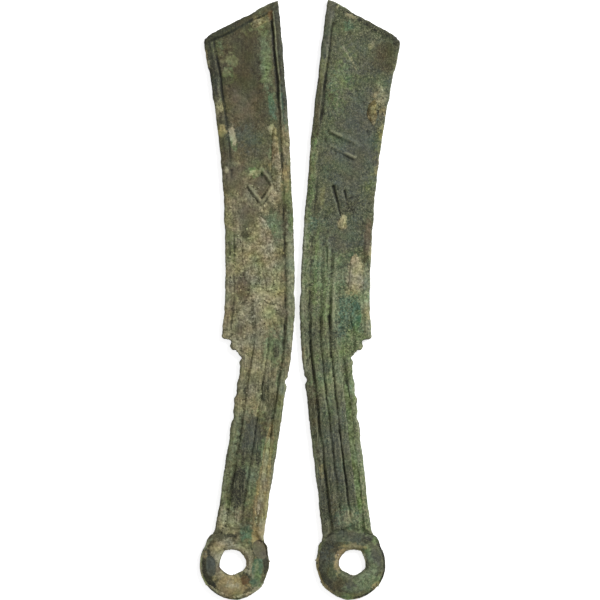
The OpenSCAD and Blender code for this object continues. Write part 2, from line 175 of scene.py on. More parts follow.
class NodeBoard:
    """Adds nodes to a tree and joins their sockets."""

    def __init__(self, tree: bpy.types.NodeTree) -> None:
        """Keeps the tree that the nodes go into."""
        self.tree = tree

    def feed(self, socket: Socket, value: Any) -> None:
        """Links a socket to another one, or sets it to a plain value.

        Args:
            socket: the input.
            value: a socket or a plain value.
        """
        if isinstance(value, bpy.types.NodeSocket):
            self.tree.links.new(value, socket)
        else:
            socket.default_value = value

    def add(self, kind: str, inputs: dict[Any, Any] | None = None, **settings: Any) -> bpy.types.Node:
        """Adds one node.

        Args:
            kind: Blender's name of the node type.
            inputs: values or sockets by input name or place.
            settings: properties of the node itself.

        Returns:
            The new node.
        """
        node = self.tree.nodes.new(kind)
        for name, value in settings.items():
            setattr(node, name, value)
        for key, value in (inputs or {}).items():
            self.feed(node.inputs[key], value)
        return node

    def math(self, operation: str, *values: Any) -> Socket:
        """Result of a Math node on one to three values."""
        node = self.add("ShaderNodeMath", dict(enumerate(values)), operation=operation)
        return node.outputs[0]

    def times(self, first: Any, second: Any) -> Socket:
        """Product of two numbers."""
        return self.math("MULTIPLY", first, second)

    def plus_times(self, value: Any, factor: Any, base: Any) -> Socket:
        """A base with a value times a factor on top."""
        return self.math("MULTIPLY_ADD", value, factor, base)

    def vector(self, operation: str, *values: Any) -> Socket:
        """Result of a Vector Math node."""
        node = self.add("ShaderNodeVectorMath", dict(enumerate(values)), operation=operation)
        return node.outputs[0]

    def scaled(self, vector: Socket, factor: Any) -> Socket:
        """A vector times a number."""
        node = self.add("ShaderNodeVectorMath", {"Vector": vector, "Scale": factor}, operation="SCALE")
        return node.outputs[0]

    def spread(self, value: Any, low: float, high: float, least: float = 0.0, most: float = 1.0) -> Socket:
        """Smooth passage from least, where a value is low, to most, where it is high."""
        inputs = {0: value, 1: low, 2: high, 3: least, 4: most}
        return self.add("ShaderNodeMapRange", inputs, interpolation_type="SMOOTHSTEP").outputs[0]

    def mix(self, factor: Any, first: Any, second: Any) -> Socket:
        """Mix of two colours."""
        inputs = {0: factor, 6: first, 7: second}
        return self.add("ShaderNodeMix", inputs, data_type="RGBA").outputs[2]

    def summed(self, parts: Sequence[tuple[Socket, float]]) -> Socket:
        """Sum of values, each with its weight.

        Args:
            parts: each value and its weight.

        Returns:
            The sum's socket.
        """
        (first, weight), *others = parts
        total = self.times(first, weight)
        for part, weight in others:
            total = self.plus_times(part, weight, total)
        return total

    def noise(self, at: Any, scale: Any, octaves: float = 3.0, keep: float = 0.6, seed: Any = 0.0) -> Socket:
        """Fractal noise about 0.5.

        Args:
            at: where it is read.
            scale: repeats in a millimetre.
            octaves: finer octaves beyond the first.
            keep: share that each finer octave keeps.
            seed: which of many patterns.

        Returns:
            The noise value's socket.
        """
        inputs = {"Vector": at, "W": seed, "Scale": scale, "Detail": octaves, "Roughness": keep}
        return self.add("ShaderNodeTexNoise", inputs, noise_dimensions="4D").outputs[0]

    def drift(self, at: Any, scale: Any, seed: Any, octaves: float = 2.0) -> Socket:
        """Noise vector whose parts lie about 0.

        Args:
            at: where it is read.
            scale: repeats in a millimetre.
            seed: which of many patterns.
            octaves: finer octaves beyond the first.

        Returns:
            The vector's socket.
        """
        inputs = {"Vector": at, "W": seed, "Scale": scale, "Detail": octaves}
        node = self.add("ShaderNodeTexNoise", inputs, noise_dimensions="4D")
        return self.vector("SUBTRACT", node.outputs[1], (0.5, 0.5, 0.5))

    def cells(self, at: Any, scale: float) -> Socket:
        """Round grains packed side by side: 0 in the middle of each, about 0.6 between them."""
        inputs = {"Vector": at, "Scale": scale, "Smoothness": 0.3}
        return self.add("ShaderNodeTexVoronoi", inputs, feature="SMOOTH_F1").outputs[0]

    def attribute(self, name: str, output: str = "Fac") -> Socket:
        """A mesh attribute, in a material."""
        return self.add("ShaderNodeAttribute", attribute_name=name).outputs[output]


@dataclass(frozen=True)
class Tone:
    """One colour of a mottled surface, from its hollows to its high grains, and the grain of its borders."""

    dark: Colour
    light: Colour
    grain: float = 1.1
    blur: float = 0.2

    OCTAVES = 3.0
    KEEP = 0.62
    FRAY = 3.4
    LEVEL = -2.75
    STRENGTH = 2.3
    MOST = 0.94

    def socket(self, board: NodeBoard, factor: Socket) -> Socket:
        """The tone's colour between dark and light."""
        return board.mix(factor, self.dark, self.light)

    def share(self, board: NodeBoard, at: Socket, place: Socket, seed: float) -> Socket:
        """How far the tone covers what lies under it: a ragged form of a soft mask.

        Args:
            board: the material's board.
            at: where noise is read.
            place: the soft mask, 1 at the middle of a stain.
            seed: which noise the border follows.

        Returns:
            The cover's socket.
        """
        ragged = board.noise(at, self.grain, self.OCTAVES, self.KEEP, seed)
        ragged = board.plus_times(ragged, self.FRAY, self.LEVEL)
        cover = board.plus_times(place, self.STRENGTH, ragged)
        return board.spread(cover, -self.blur, self.blur, 0.0, self.MOST)


TONES: dict[Tint, Tone] = {
    Tint.EARTH: Tone(srgb(104, 100, 75), srgb(184, 178, 142), 0.9, 0.45),
    Tint.UMBER: Tone(srgb(41, 38, 26), srgb(90, 84, 62), 0.7, 0.6),
    Tint.OLIVE: Tone(srgb(72, 76, 49), srgb(140, 143, 101), 1.1, 0.5),
    Tint.VERDIGRIS: Tone(srgb(70, 80, 58), srgb(146, 161, 122), 1.1, 0.5),
    Tint.TEAL: Tone(srgb(50, 70, 54), srgb(114, 142, 114), 1.1, 0.5),
    Tint.SAGE: Tone(srgb(94, 102, 78), srgb(170, 176, 142), 1.2, 0.5),
    Tint.SOOT: Tone(srgb(26, 28, 22), srgb(68, 69, 57), 1.0, 0.5),
    Tint.OCHRE: Tone(srgb(106, 97, 66), srgb(188, 174, 126), 1.1, 0.4),
    Tint.RUST: Tone(srgb(74, 58, 40), srgb(124, 98, 68), 1.4, 0.4),
    Tint.SLATE: Tone(srgb(50, 54, 47), srgb(104, 109, 95), 1.2, 0.5),
    Tint.PLUM: Tone(srgb(73, 67, 53), srgb(125, 117, 95), 1.2, 0.5),
    Tint.LIME: Tone(srgb(62, 77, 49), srgb(137, 157, 109), 1.1, 0.5),
    Tint.CREAM: Tone(srgb(134, 130, 99), srgb(202, 196, 160), 1.5, 0.4),
}


@dataclass(frozen=True)
class Placement:
    """How one coin lies in the frame."""

    side: str
    turned_over: bool
    turn: float

    @property
    def body(self) -> str:
        """Name of the frame's body."""
        return f"{self.side}_coin"

    def matrix(self) -> Matrix:
        """Where the coin lies, by way of the mount in its ring's hole.

        Returns:
            The way from the coin's own millimetres to the frame's metres.
        """
        mounts = {mount["name"]: mount["pos_m"] for mount in frame["record"]["mounts"]}
        hole = Vector(mounts[f"{self.side}_ring_hole"])
        turn = Matrix.Rotation(math.radians(self.turn), 4, "Z")
        if self.turned_over:
            turn = turn @ Matrix.Rotation(math.pi, 4, "Y")
        centre = hole - turn.to_3x3() @ Vector((*HOLE, 0.0)) * MM
        return Matrix.Translation(centre) @ turn @ Matrix.Scale(MM, 4)

    def set_out(self, mesh: bpy.types.Mesh, name: str, slot: str, *nodes: str) -> bpy.types.Object:
        """Places a copy of a mesh of the coin as a piece of the visual model.

        Args:
            mesh: the piece in the coin's own millimetres.
            name: the piece's name without its side.
            slot: the record's material slot; not used.
            nodes: names, without their side, of the frame's nodes that it stands for.

        Returns:
            The placed object.
        """
        placed = mesh.copy()
        placed.transform(self.matrix())
        piece = bpy.data.objects.new(f"{self.side}_{name}", placed)
        bpy.context.scene.collection.objects.link(piece)
        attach(piece, self.body)
        if nodes:
            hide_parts(*(f"{self.side}_{node}" for node in nodes))
        LOG.info("%s: %d faces", piece.name, len(placed.polygons))
        return piece


LEFT = Placement("left", turned_over=False, turn=0.0)
RIGHT = Placement("right", turned_over=True, turn=-2.1)


def hosted(mesh: bpy.types.Mesh) -> bpy.types.Object:
    """A passing object that holds a mesh while a modifier works on it.

    Args:
        mesh: what the modifier starts from.

    Returns:
        The object, in the scene.
    """
    host = bpy.data.objects.new("modifier_host", mesh)
    bpy.context.scene.collection.objects.link(host)
    return host


def evaluated(host: bpy.types.Object) -> bpy.types.Mesh:
    """Applies an object's modifiers and removes the object.

    Args:
        host: the passing object.

    Returns:
        The result as a plain mesh.
    """
    graph = bpy.context.evaluated_depsgraph_get()
    result = host.evaluated_get(graph)
    mesh = bpy.data.meshes.new_from_object(result, preserve_all_data_layers=True, depsgraph=graph)
    host.modifiers.clear()
    bpy.data.objects.remove(host)
    return mesh


def grown(mesh: bpy.types.Mesh, tree: bpy.types.NodeTree, inputs: dict[str, Any]) -> bpy.types.Mesh:
    """Runs a Geometry Nodes tree on a mesh.

    Args:
        mesh: what the tree starts from.
        tree: the tree.
        inputs: values of the tree's named inputs.

    Returns:
        The result as a plain mesh.
    """
    host = hosted(mesh)
    modifier = host.modifiers.new("growth", "NODES")
    modifier.node_group = tree
    sockets = {item.name: item.identifier for item in tree.interface.items_tree if item.in_out == "INPUT"}
    for name, value in inputs.items():
        modifier[sockets[name]] = value
    return evaluated(host)


def new_tree(name: str, inputs: Sequence[tuple[str, str]]) -> tuple[NodeBoard, bpy.types.Node]:
    """Starts a Geometry Nodes tree.

    Args:
        name: the tree's name.
        inputs: name and socket type of each input after the geometry.

    Returns:
        The board for its nodes, and its Group Input node.
    """
    tree = bpy.data.node_groups.new(name, "GeometryNodeTree")
    tree.interface.new_socket("Geometry", in_out="INPUT", socket_type="NodeSocketGeometry")
    for label, kind in inputs:
        tree.interface.new_socket(label, in_out="INPUT", socket_type=kind)
    tree.interface.new_socket("Geometry", in_out="OUTPUT", socket_type="NodeSocketGeometry")
    board = NodeBoard(tree)
    return board, board.add("NodeGroupInput")


def close_tree(board: NodeBoard, geometry: Socket, material: bpy.types.Material) -> bpy.types.NodeTree:
    """Ends a Geometry Nodes tree in Realize Instances and Set Material.

    Args:
        board: the tree's board.
        geometry: what the tree has made.
        material: the finish of all of it.

    Returns:
        The finished tree.
    """
    plain = board.add("GeometryNodeRealizeInstances", {0: geometry}).outputs[0]
    dressed = board.add("GeometryNodeSetMaterial", {"Geometry": plain, "Material": material}).outputs[0]
    board.add("NodeGroupOutput", {0: dressed})
    return board.tree


def write_attribute(mesh: bpy.types.Mesh, name: str, values: np.ndarray) -> None:
    """Stores a number, or a vector, for each point of a mesh.

    Args:
        mesh: the mesh.
        name: the attribute's name.
        values: one number or one row of three for each point.
    """
    kind, key = ("FLOAT", "value") if values.ndim == 1 else ("FLOAT_VECTOR", "vector")
    if name in mesh.attributes:
        mesh.attributes.remove(mesh.attributes[name])
    layer = mesh.attributes.new(name, kind, "POINT")
    layer.data.foreach_set(key, values.astype(np.float32).ravel())


class Surface:
    """A mesh held as arrays, in the coin's millimetres."""

    FACING = 0.3
    WALL_SLOPE = 0.4

    def __init__(self, mesh: bpy.types.Mesh) -> None:
        """Reads the points, normals and edges of a mesh.

        Args:
            mesh: the mesh, in the coin's millimetres.
        """
        self.mesh = mesh
        self.count = len(mesh.vertices)
        self.points = np.empty(self.count * 3, dtype=np.float32)
        mesh.vertices.foreach_get("co", self.points)
        self.points = self.points.reshape(-1, 3).astype(float)
        self.normals = np.empty(self.count * 3, dtype=np.float32)
        mesh.vertex_normals.foreach_get("vector", self.normals)
        self.normals = self.normals.reshape(-1, 3).astype(float)
        self.edges = np.empty(len(mesh.edges) * 2, dtype=np.int32)
        mesh.edges.foreach_get("vertices", self.edges)
        self.edges = self.edges.reshape(-1, 2)
        ends = np.concatenate([self.edges[:, 0], self.edges[:, 1]])
        self.degree = np.maximum(np.bincount(ends, minlength=self.count), 1)

    def blurred(self, values: np.ndarray, rounds: int) -> np.ndarray:
        """Averages values with their neighbours along the edges.

        Args:
            values: one number or one row for each point.
            rounds: how many times over.

        Returns:
            The averaged values.
        """
        first, second = self.edges[:, 0], self.edges[:, 1]
        columns = values.reshape(self.count, -1).astype(float).copy()
        for _ in range(rounds):
            for column in columns.T:
                total = np.bincount(first, column[second], self.count)
                total += np.bincount(second, column[first], self.count)
                column[:] = 0.5 * column + 0.5 * total / self.degree
        return columns.reshape(values.shape)

    def relief(self, rounds: int) -> np.ndarray:
        """How far each point stands out of its surroundings, in mm; hollows are negative."""
        return np.einsum("ij,ij->i", self.points - self.blurred(self.points, rounds), self.normals)

    def ripple(self, scale: float) -> np.ndarray:
        """Smooth noise about 0 at each point."""
        return np.array([noise.noise(Vector(point) * scale) for point in self.points])

    def on(self, face: Face, least: float = FACING) -> np.ndarray:
        """Which points look towards the side of a face."""
        return self.normals[:, 2] * face.value > least

    def walls(self) -> np.ndarray:
        """1 at points of the outer walls and 0 on the faces."""
        return (np.abs(self.normals[:, 2]) < self.WALL_SLOPE).astype(float)

    def write_points(self) -> None:
        """Puts the points back into the mesh."""
        self.mesh.vertices.foreach_set("co", self.points.astype(np.float32).ravel())
        self.mesh.update()

    def pressed(self) -> None:
        """Cuts the points back to the coin's full thickness and puts them back into the mesh."""
        self.points[:, 2] = np.clip(self.points[:, 2], -HALF_T, HALF_T)
        self.write_points()

    def read(self, name: str) -> np.ndarray:
        """Reads a number attribute.

        Args:
            name: the attribute's name.

        Returns:
            Its value at each point.
        """
        values = np.empty(self.count, dtype=np.float32)
        self.mesh.attributes[name].data.foreach_get("value", values)
        return values.astype(float)

    def write(self, name: str, values: np.ndarray) -> None:
        """Stores a number or vector for each point."""
        write_attribute(self.mesh, name, values)

    def quads(self) -> np.ndarray:
        """Reads the faces of a net of squares.

        Returns:
            The four corners of each face.
        """
        corners = np.empty(len(self.mesh.polygons) * 4, dtype=np.int32)
        self.mesh.polygons.foreach_get("vertices", corners)
        return corners.reshape(-1, 4)


class Outline:
    """The coin's plan, measured on its skin: how far a point lies in from the back, the edge and the tip."""

    ROW = 0.4
    LOWEST = 9.0
    TIP_ZONE = 100.0
    FAR = 99.0
    EVEN_ROWS = 5
    EDGE_END = 0.5

    def __init__(self, points: np.ndarray) -> None:
        """Measures the outermost points of each row across the coin.

        Args:
            points: the skin's points in the coin's millimetres, one row each.
        """
        upper = points[points[:, 1] > self.TIP_ZONE]
        self.tip = upper[upper[:, 1].argmax(), :2]
        self.corner = upper[upper[:, 0].argmin(), :2]
        rows = np.arange(self.LOWEST, self.tip[1], self.ROW)
        row_of = ((points[:, 1] - self.LOWEST) / self.ROW).astype(int)
        inside = (points[:, 1] > self.LOWEST) & (row_of < len(rows))
        back = np.full(len(rows), -self.FAR)
        edge = np.full(len(rows), self.FAR)
        np.maximum.at(back, row_of[inside], points[inside, 0])
        np.minimum.at(edge, row_of[inside], points[inside, 0])
        self.rows = rows + 0.5 * self.ROW
        self.back = self.evened(back)
        self.edge = self.evened(edge)

    def evened(self, values: np.ndarray) -> np.ndarray:
        """A run of values, each averaged with its neighbours."""
        padded = np.pad(values, self.EVEN_ROWS // 2, mode="edge")
        return np.convolve(padded, np.full(self.EVEN_ROWS, 1.0 / self.EVEN_ROWS), mode="valid")

    def inset(self, rim: Rim, points: np.ndarray) -> np.ndarray:
        """Measures how far points lie in from a rim's outer side.

        Args:
            rim: which rim.
            points: places in the coin's millimetres, one row each.

        Returns:
            The distances in mm.
        """
        if rim is Rim.TIP:
            along = (self.tip - self.corner) / np.linalg.norm(self.tip - self.corner)
            return (points[:, :2] - self.corner) @ np.array([along[1], -along[0]])
        line = self.back if rim is Rim.BACK else self.edge
        lean = np.interp(points[:, 1], self.rows, np.gradient(line, self.ROW))
        gap = np.abs(np.interp(points[:, 1], self.rows, line) - points[:, 0])
        distance = gap / np.sqrt(1.0 + lean * lean)
        if rim is Rim.EDGE:
            distance[points[:, 1] > self.corner[1] - self.EDGE_END] = self.FAR
        return distance


@dataclass(frozen=True)
class Region:
    """Points of one face, in the coin's millimetres and one row each, and the outline they lie in."""

    points: np.ndarray
    outline: Outline

    def inset(self, rim: Rim) -> np.ndarray:
        """How far each point lies in from a rim's outer side, in mm."""
        return self.outline.inset(rim, self.points)


@dataclass(frozen=True)
class Stain:
    """A patch of a tint on one face: an oval, in the coin's millimetres, that fades outwards."""

    x: float
    y: float
    half_x: float
    half_y: float
    strength: float = 1.0
    turn: float = 0.0

    FALL = 0.75

    def mask(self, region: Region) -> np.ndarray:
        """Share of the tint at each point.

        Args:
            region: the points.

        Returns:
            The shares, full in the middle and 0 well outside the oval.
        """
        along_x, along_y = turned(region.points, self.x, self.y, self.turn)
        reach = np.hypot(along_x / self.half_x, along_y / self.half_y)
        return self.strength * np.exp(-self.FALL * reach * reach)


@dataclass(frozen=True)
class Band:
    """A strip of a tint that follows a rim."""

    rim: Rim
    inset: float
    half_w: float
    low: float
    high: float
    strength: float = 1.0

    FADE = 4.0

    def mask(self, region: Region) -> np.ndarray:
        """Share of the tint at each point."""
        across = bell(region.inset(self.rim) - self.inset, self.half_w)
        return self.strength * across * stretch(region.points, self.low, self.high, self.FADE)


@dataclass(frozen=True)
class Arc:
    """A strip of a tint that runs round the ring, between two directions in degrees from +X."""

    radius: float
    half_w: float
    start: float
    end: float
    strength: float = 1.0

    FADE = 14.0

    def mask(self, region: Region) -> np.ndarray:
        """Share of the tint at each point.

        Args:
            region: the points.

        Returns:
            The shares.
        """
        x, y = region.points[:, 0], region.points[:, 1]
        across = bell(np.hypot(x, y) - self.radius, self.half_w)
        middle = math.radians(0.5 * (self.start + self.end))
        away = np.arctan2(y, x) - middle
        away = np.degrees(np.abs(np.arctan2(np.sin(away), np.cos(away))))
        half = 0.5 * (self.end - self.start)
        return self.strength * across * (1.0 - smooth_step(away, half - self.FADE, half + self.FADE))


Cover = Stain | Band | Arc
# What lies on each face, tint by tint: ovals from tip to ring, then strips along rims and round the ring,
# some of which paint shade and light on the ring's outer bevel
OBVERSE_COVERS: dict[Tint, tuple[Cover, ...]] = {
    Tint.EARTH: (
        Stain(-3.5, 105.5, 1.2, 2.0, 1.05), Stain(11.9, 97.0, 1.1, 5.2, 0.85, 6),
        Stain(0.6, 92.5, 0.8, 0.8), Stain(9.2, 85.5, 1.6, 2.6, 1.1), Stain(5.0, 85.3, 1.5, 0.9, 0.8),
        Stain(2.5, 84.0, 8.0, 9.0, 0.55), Stain(-0.8, 83.0, 1.4, 2.8, 0.75),
        Stain(7.0, 82.5, 1.6, 1.2, 0.85, 25), Stain(3.6, 65.0, 8.0, 16.0, 1.0),
        Stain(2.0, 51.0, 4.3, 2.4, 1.2), Stain(5.0, 47.0, 8.0, 9.0, 0.75),
        Stain(4.2, 45.5, 2.6, 4.4, 1.2, -5), Stain(3.4, 37.2, 3.2, 3.0, 1.4, -5),
        Stain(-1.2, 10.6, 2.0, 3.0, 1.7), Stain(-3.1, 4.0, 2.8, 1.5, 1.05, 30),
        Stain(-0.5, 0.5, 6.0, 6.0, 0.7), Stain(3.4, 0.4, 0.9, 3.0, 1.1),
        Band(Rim.EDGE, 0.9, 1.2, 54.0, 86.0, 0.65),
        Arc(4.8, 1.5, 95.0, 165.0, 1.25),
    ),
    Tint.UMBER: (
        Stain(3.0, 121.5, 4.6, 3.2, 1.2, 27), Stain(2.0, 112.5, 5.0, 11.0, 1.2, 7),
        Stain(2.4, 76.3, 1.2, 1.2, 0.9), Stain(2.1, 61.0, 0.8, 1.6, 0.8), Stain(4.4, 57.4, 0.6, 3.3, 0.9),
        Stain(5.9, 3.2, 1.7, 2.3, 0.8),
        Band(Rim.EDGE, 0.9, 1.4, 84.0, 106.0, 0.7), Band(Rim.TIP, 0.6, 0.8, 118.0, 132.0, 1.1),
        Band(Rim.BACK, 0.7, 1.1, 106.0, 132.0, 0.8),
    ),
    Tint.OLIVE: (
        Stain(5.0, 124.0, 4.0, 3.0, 0.45, 27), Stain(-0.8, 116.5, 1.9, 1.7, 0.8),
        Stain(-2.0, 116.0, 2.6, 6.0, 0.38, 7), Stain(-2.0, 113.8, 0.8, 1.0),
        Stain(12.3, 85.5, 1.1, 3.6, 0.9, 4), Stain(-0.8, 73.8, 1.3, 5.0, 0.75),
        Stain(10.7, 38.0, 1.0, 3.8, 0.9, -5), Stain(9.6, 32.0, 1.2, 7.0, 0.85, -6),
        Stain(-0.1, 29.7, 1.2, 3.2, 0.85, -5), Stain(-0.4, 28.0, 1.2, 9.0, 0.85, -6),
        Stain(3.0, 15.0, 6.0, 8.0, 0.5, -5),
    ),
    Tint.VERDIGRIS: (
        Stain(-3.2, 119.0, 1.2, 2.2, 0.5), Stain(7.2, 117.0, 1.6, 8.5, 0.68, 7),
        Stain(6.9, 112.0, 0.7, 1.5), Stain(8.9, 95.0, 1.3, 2.8, 0.75), Stain(9.0, 79.0, 1.9, 2.8, 0.85),
        Stain(10.0, 76.8, 1.4, 2.0, 0.85), Stain(7.0, 73.3, 1.4, 2.0, 0.8),
        Stain(8.9, 54.2, 2.3, 2.1, 0.55), Stain(9.3, 49.5, 2.5, 3.5, 0.9),
        Stain(10.7, 43.0, 1.2, 2.8, 0.9, -5), Stain(3.5, 24.0, 6.0, 12.0, 0.66, -6),
        Stain(4.0, 19.0, 1.2, 5.2, 0.8, -5), Stain(4.7, -4.0, 1.4, 1.8, 0.8),
    ),
    Tint.TEAL: (
        Stain(8.6, 106.0, 1.0, 3.6, 0.75, 7), Stain(2.9, 7.3, 2.1, 2.1, 0.7),
        Stain(5.2, -1.0, 1.1, 2.4, 1.0),
        Band(Rim.BACK, 0.8, 0.9, 102.0, 112.0, 0.7), Band(Rim.BACK, 0.5, 0.7, 100.0, 116.0, 0.7),
        Arc(5.7, 0.9, 315.0, 375.0, 1.1),
    ),
    Tint.SAGE: (
        Stain(12.9, 66.0, 1.2, 14.0, 0.85, 1), Stain(8.6, 54.4, 1.0, 1.4, 0.7),
        Stain(7.6, 48.4, 0.8, 1.8, 0.8), Stain(11.3, 41.6, 0.9, 2.6, 1.0, -5),
        Stain(-2.6, 18.0, 0.6, 3.6, 0.85, -5), Stain(2.6, 8.6, 1.8, 1.8, 0.5),
        Band(Rim.EDGE, 1.6, 0.2, 104.0, 122.0, 0.5), Band(Rim.BACK, 1.35, 0.16, 100.0, 128.0, 0.85),
        Band(Rim.BACK, 0.9, 0.9, 52.0, 76.0, 0.9),
        # The first arc lightens the ring's outer bevel on its left: painted light that offsets its shade
        Arc(7.95, 0.4, 130.0, 240.0, 1.1), Arc(5.2, 0.5, 320.0, 370.0, 0.75),
    ),
    Tint.SOOT: (
        Stain(9.0, 129.4, 0.9, 0.8, 1.1), Stain(-4.0, 123.0, 3.4, 0.8, 1.0, 27),
        Stain(-5.1, 122.7, 1.8, 0.7, 1.2, 29), Stain(-6.6, 121.5, 0.9, 0.9),
        Stain(-4.6, 111.0, 0.8, 3.2, 0.9, 7), Stain(0.8, 54.6, 0.8, 1.2, 0.6),
        Stain(9.4, 49.2, 1.1, 2.2, 0.6), Stain(7.6, 41.6, 0.6, 2.8, 0.65, -5),
        Stain(2.4, 40.5, 0.5, 1.6, 0.7, -5), Stain(6.6, 39.5, 0.5, 3.2, 0.8, -5),
        Stain(4.2, 29.0, 1.6, 4.5, 1.0, -5), Stain(2.2, 26.0, 0.8, 5.0, 0.8, -5),
        Stain(8.0, 26.0, 0.4, 2.0, 0.9), Stain(5.4, 25.1, 0.6, 2.0, 0.9),
        Stain(0.9, 17.8, 1.4, 3.6, 1.8, -5), Stain(-0.6, 6.8, 2.2, 0.5, 0.7),
        Stain(4.65, 2.95, 0.3, 1.9, 1.2, 32), Stain(-5.4, -0.4, 1.0, 2.4, 0.6),
        Stain(2.4, -2.9, 1.0, 0.9, 1.2),
        Band(Rim.EDGE, 0.5, 1.2, 110.0, 124.0, 1.5), Band(Rim.EDGE, 2.2, 0.4, 98.0, 122.0, 1.0),
        Band(Rim.TIP, 0.3, 0.7, 116.0, 124.5, 1.2), Band(Rim.TIP, 1.3, 0.4, 118.0, 132.0, 0.9),
        Band(Rim.TIP, 0.0, 0.2, 118.0, 132.0, 0.8), Band(Rim.BACK, 0.3, 0.7, 104.0, 132.0, 1.1),
        Band(Rim.BACK, 2.0, 0.45, 106.0, 128.0, 0.8),
        # These two arcs darken the ring's outer bevel on its left and its right: painted shade over dark
        # patina
        Arc(6.8, 0.8, 150.0, 260.0, 1.0), Arc(7.2, 0.6, 345.0, 380.0, 0.9),
    ),
    Tint.OCHRE: (
        Stain(6.0, 125.5, 3.0, 1.4, 0.55, 27), Stain(-6.7, 117.7, 0.6, 1.4, 0.75),
        Stain(-2.9, 100.5, 1.0, 1.7, 0.9), Stain(8.4, 91.6, 0.9, 1.0, 0.75),
        Stain(11.8, 90.0, 0.9, 4.0, 0.75, 4), Stain(11.0, 87.2, 0.6, 1.2, 0.8),
        Stain(7.6, 24.5, 0.7, 5.5, 2.4, -7), Stain(6.2, 13.5, 1.15, 7.0, 2.6, -6),
        Stain(5.6, 9.6, 1.0, 3.6, 1.5, -6), Stain(5.6, 6.3, 1.0, 0.7, 0.9), Stain(-1.4, 3.9, 1.5, 1.1, 0.9),
        Stain(-6.9, 2.2, 0.8, 1.4, 0.75), Stain(2.6, 0.3, 0.9, 1.3, 0.7), Stain(-0.6, -4.6, 3.6, 2.4, 0.9),
        Arc(5.4, 1.9, 232.0, 292.0, 1.25),
    ),
    Tint.RUST: (
        Stain(8.3, 127.0, 0.6, 1.0), Stain(2.5, -3.5, 0.9, 1.1, 1.1),
    ),
    Tint.SLATE: (
        Stain(12.0, 103.6, 0.7, 1.8, 0.8), Stain(2.5, 99.0, 4.0, 4.0, 0.6, 7),
        Stain(4.0, 29.0, 2.2, 4.8, 1.0, -6),
        Band(Rim.BACK, 0.9, 0.8, 106.0, 132.0, 0.4),
    ),
    Tint.PLUM: (
        Stain(1.5, 106.0, 4.5, 5.0, 0.62, 7), Stain(4.0, 91.6, 1.5, 1.7, 0.7),
        Stain(0.0, 89.5, 3.5, 5.0, 0.75, 7), Stain(5.5, 88.0, 3.0, 3.0, 0.7, 7),
        Stain(3.0, 80.5, 1.9, 3.2, 0.95), Stain(-0.6, 60.5, 0.8, 2.0, 0.85),
        Stain(-3.7, -1.2, 0.7, 1.3, 0.8),
        Band(Rim.TIP, 0.5, 0.5, 128.0, 132.0, 0.55),
    ),
    Tint.LIME: (
        Stain(-1.0, 114.0, 1.6, 2.6, 0.4, 7), Stain(7.0, 113.0, 1.0, 2.4, 0.65, 7),
        Stain(-0.1, 96.8, 0.7, 1.1, 1.0, 12), Stain(9.5, 95.5, 1.3, 1.7, 0.55),
        Stain(5.2, 90.7, 1.6, 1.0, 1.05), Stain(13.0, 78.4, 0.9, 2.4, 0.65),
        Stain(5.4, -2.6, 0.9, 1.4, 0.8),
        # This arc lightens the ring's outer bevel at the bottom: painted light that offsets its shade
        Arc(7.7, 0.5, 235.0, 330.0, 0.9),
    ),
    Tint.CREAM: (
        Stain(-6.0, 115.6, 0.5, 0.9, 0.7, 7), Stain(-3.6, 105.2, 0.7, 1.2, 0.7),
        Stain(-4.3, 104.3, 0.7, 1.4, 0.8), Stain(-4.5, 104.2, 0.5, 1.0, 0.8, 7),
        Stain(8.6, 100.6, 0.9, 1.2, 0.85), Stain(-0.4, 98.9, 0.7, 2.1, 1.1, 12),
        Stain(-1.9, 91.0, 0.4, 0.9, 0.8), Stain(4.9, 90.6, 1.3, 0.8, 0.85), Stain(9.2, 86.0, 1.2, 2.0, 0.8),
        Stain(7.0, 62.0, 4.5, 8.0, 0.56), Stain(-2.7, 55.6, 0.8, 1.4, 0.7),
        Stain(-2.3, 52.7, 0.8, 0.7, 0.75), Stain(13.0, 51.2, 0.6, 1.6, 0.7),
        Stain(1.6, 51.0, 3.4, 2.0, 0.5), Stain(7.5, 46.5, 1.0, 1.4, 0.7),
        Stain(4.4, 46.0, 1.8, 3.6, 0.5, -5), Stain(3.2, 36.8, 2.6, 2.4, 0.4, -5),
        Stain(6.7, 17.0, 0.7, 8.0, 0.5, -6), Stain(-1.4, 9.8, 1.4, 1.9, 1.05),
        Stain(6.4, 8.4, 0.8, 2.6, 0.95, -6), Stain(-3.1, 3.9, 1.8, 0.9, 0.65, 30),
        Stain(0.3, 3.7, 1.0, 0.5, 0.9), Stain(2.6, -0.8, 0.6, 1.0, 0.9), Stain(4.7, -5.9, 1.2, 0.9, 0.65),
        Stain(-2.5, -7.3, 1.6, 0.8, 0.55), Stain(-1.3, -7.6, 1.4, 0.7, 0.8),
        # These two arcs lighten the ring's outer bevel at the lower right and on the left: painted light that
        # offsets its shade
        Arc(7.9, 0.35, 285.0, 330.0, 0.8), Arc(8.0, 0.35, 165.0, 215.0, 0.65),
        Arc(4.0, 0.9, 45.0, 170.0, 0.9), Arc(4.8, 1.0, 240.0, 285.0, 0.6), Arc(3.8, 0.5, 330.0, 400.0, 0.8),
    ),
}
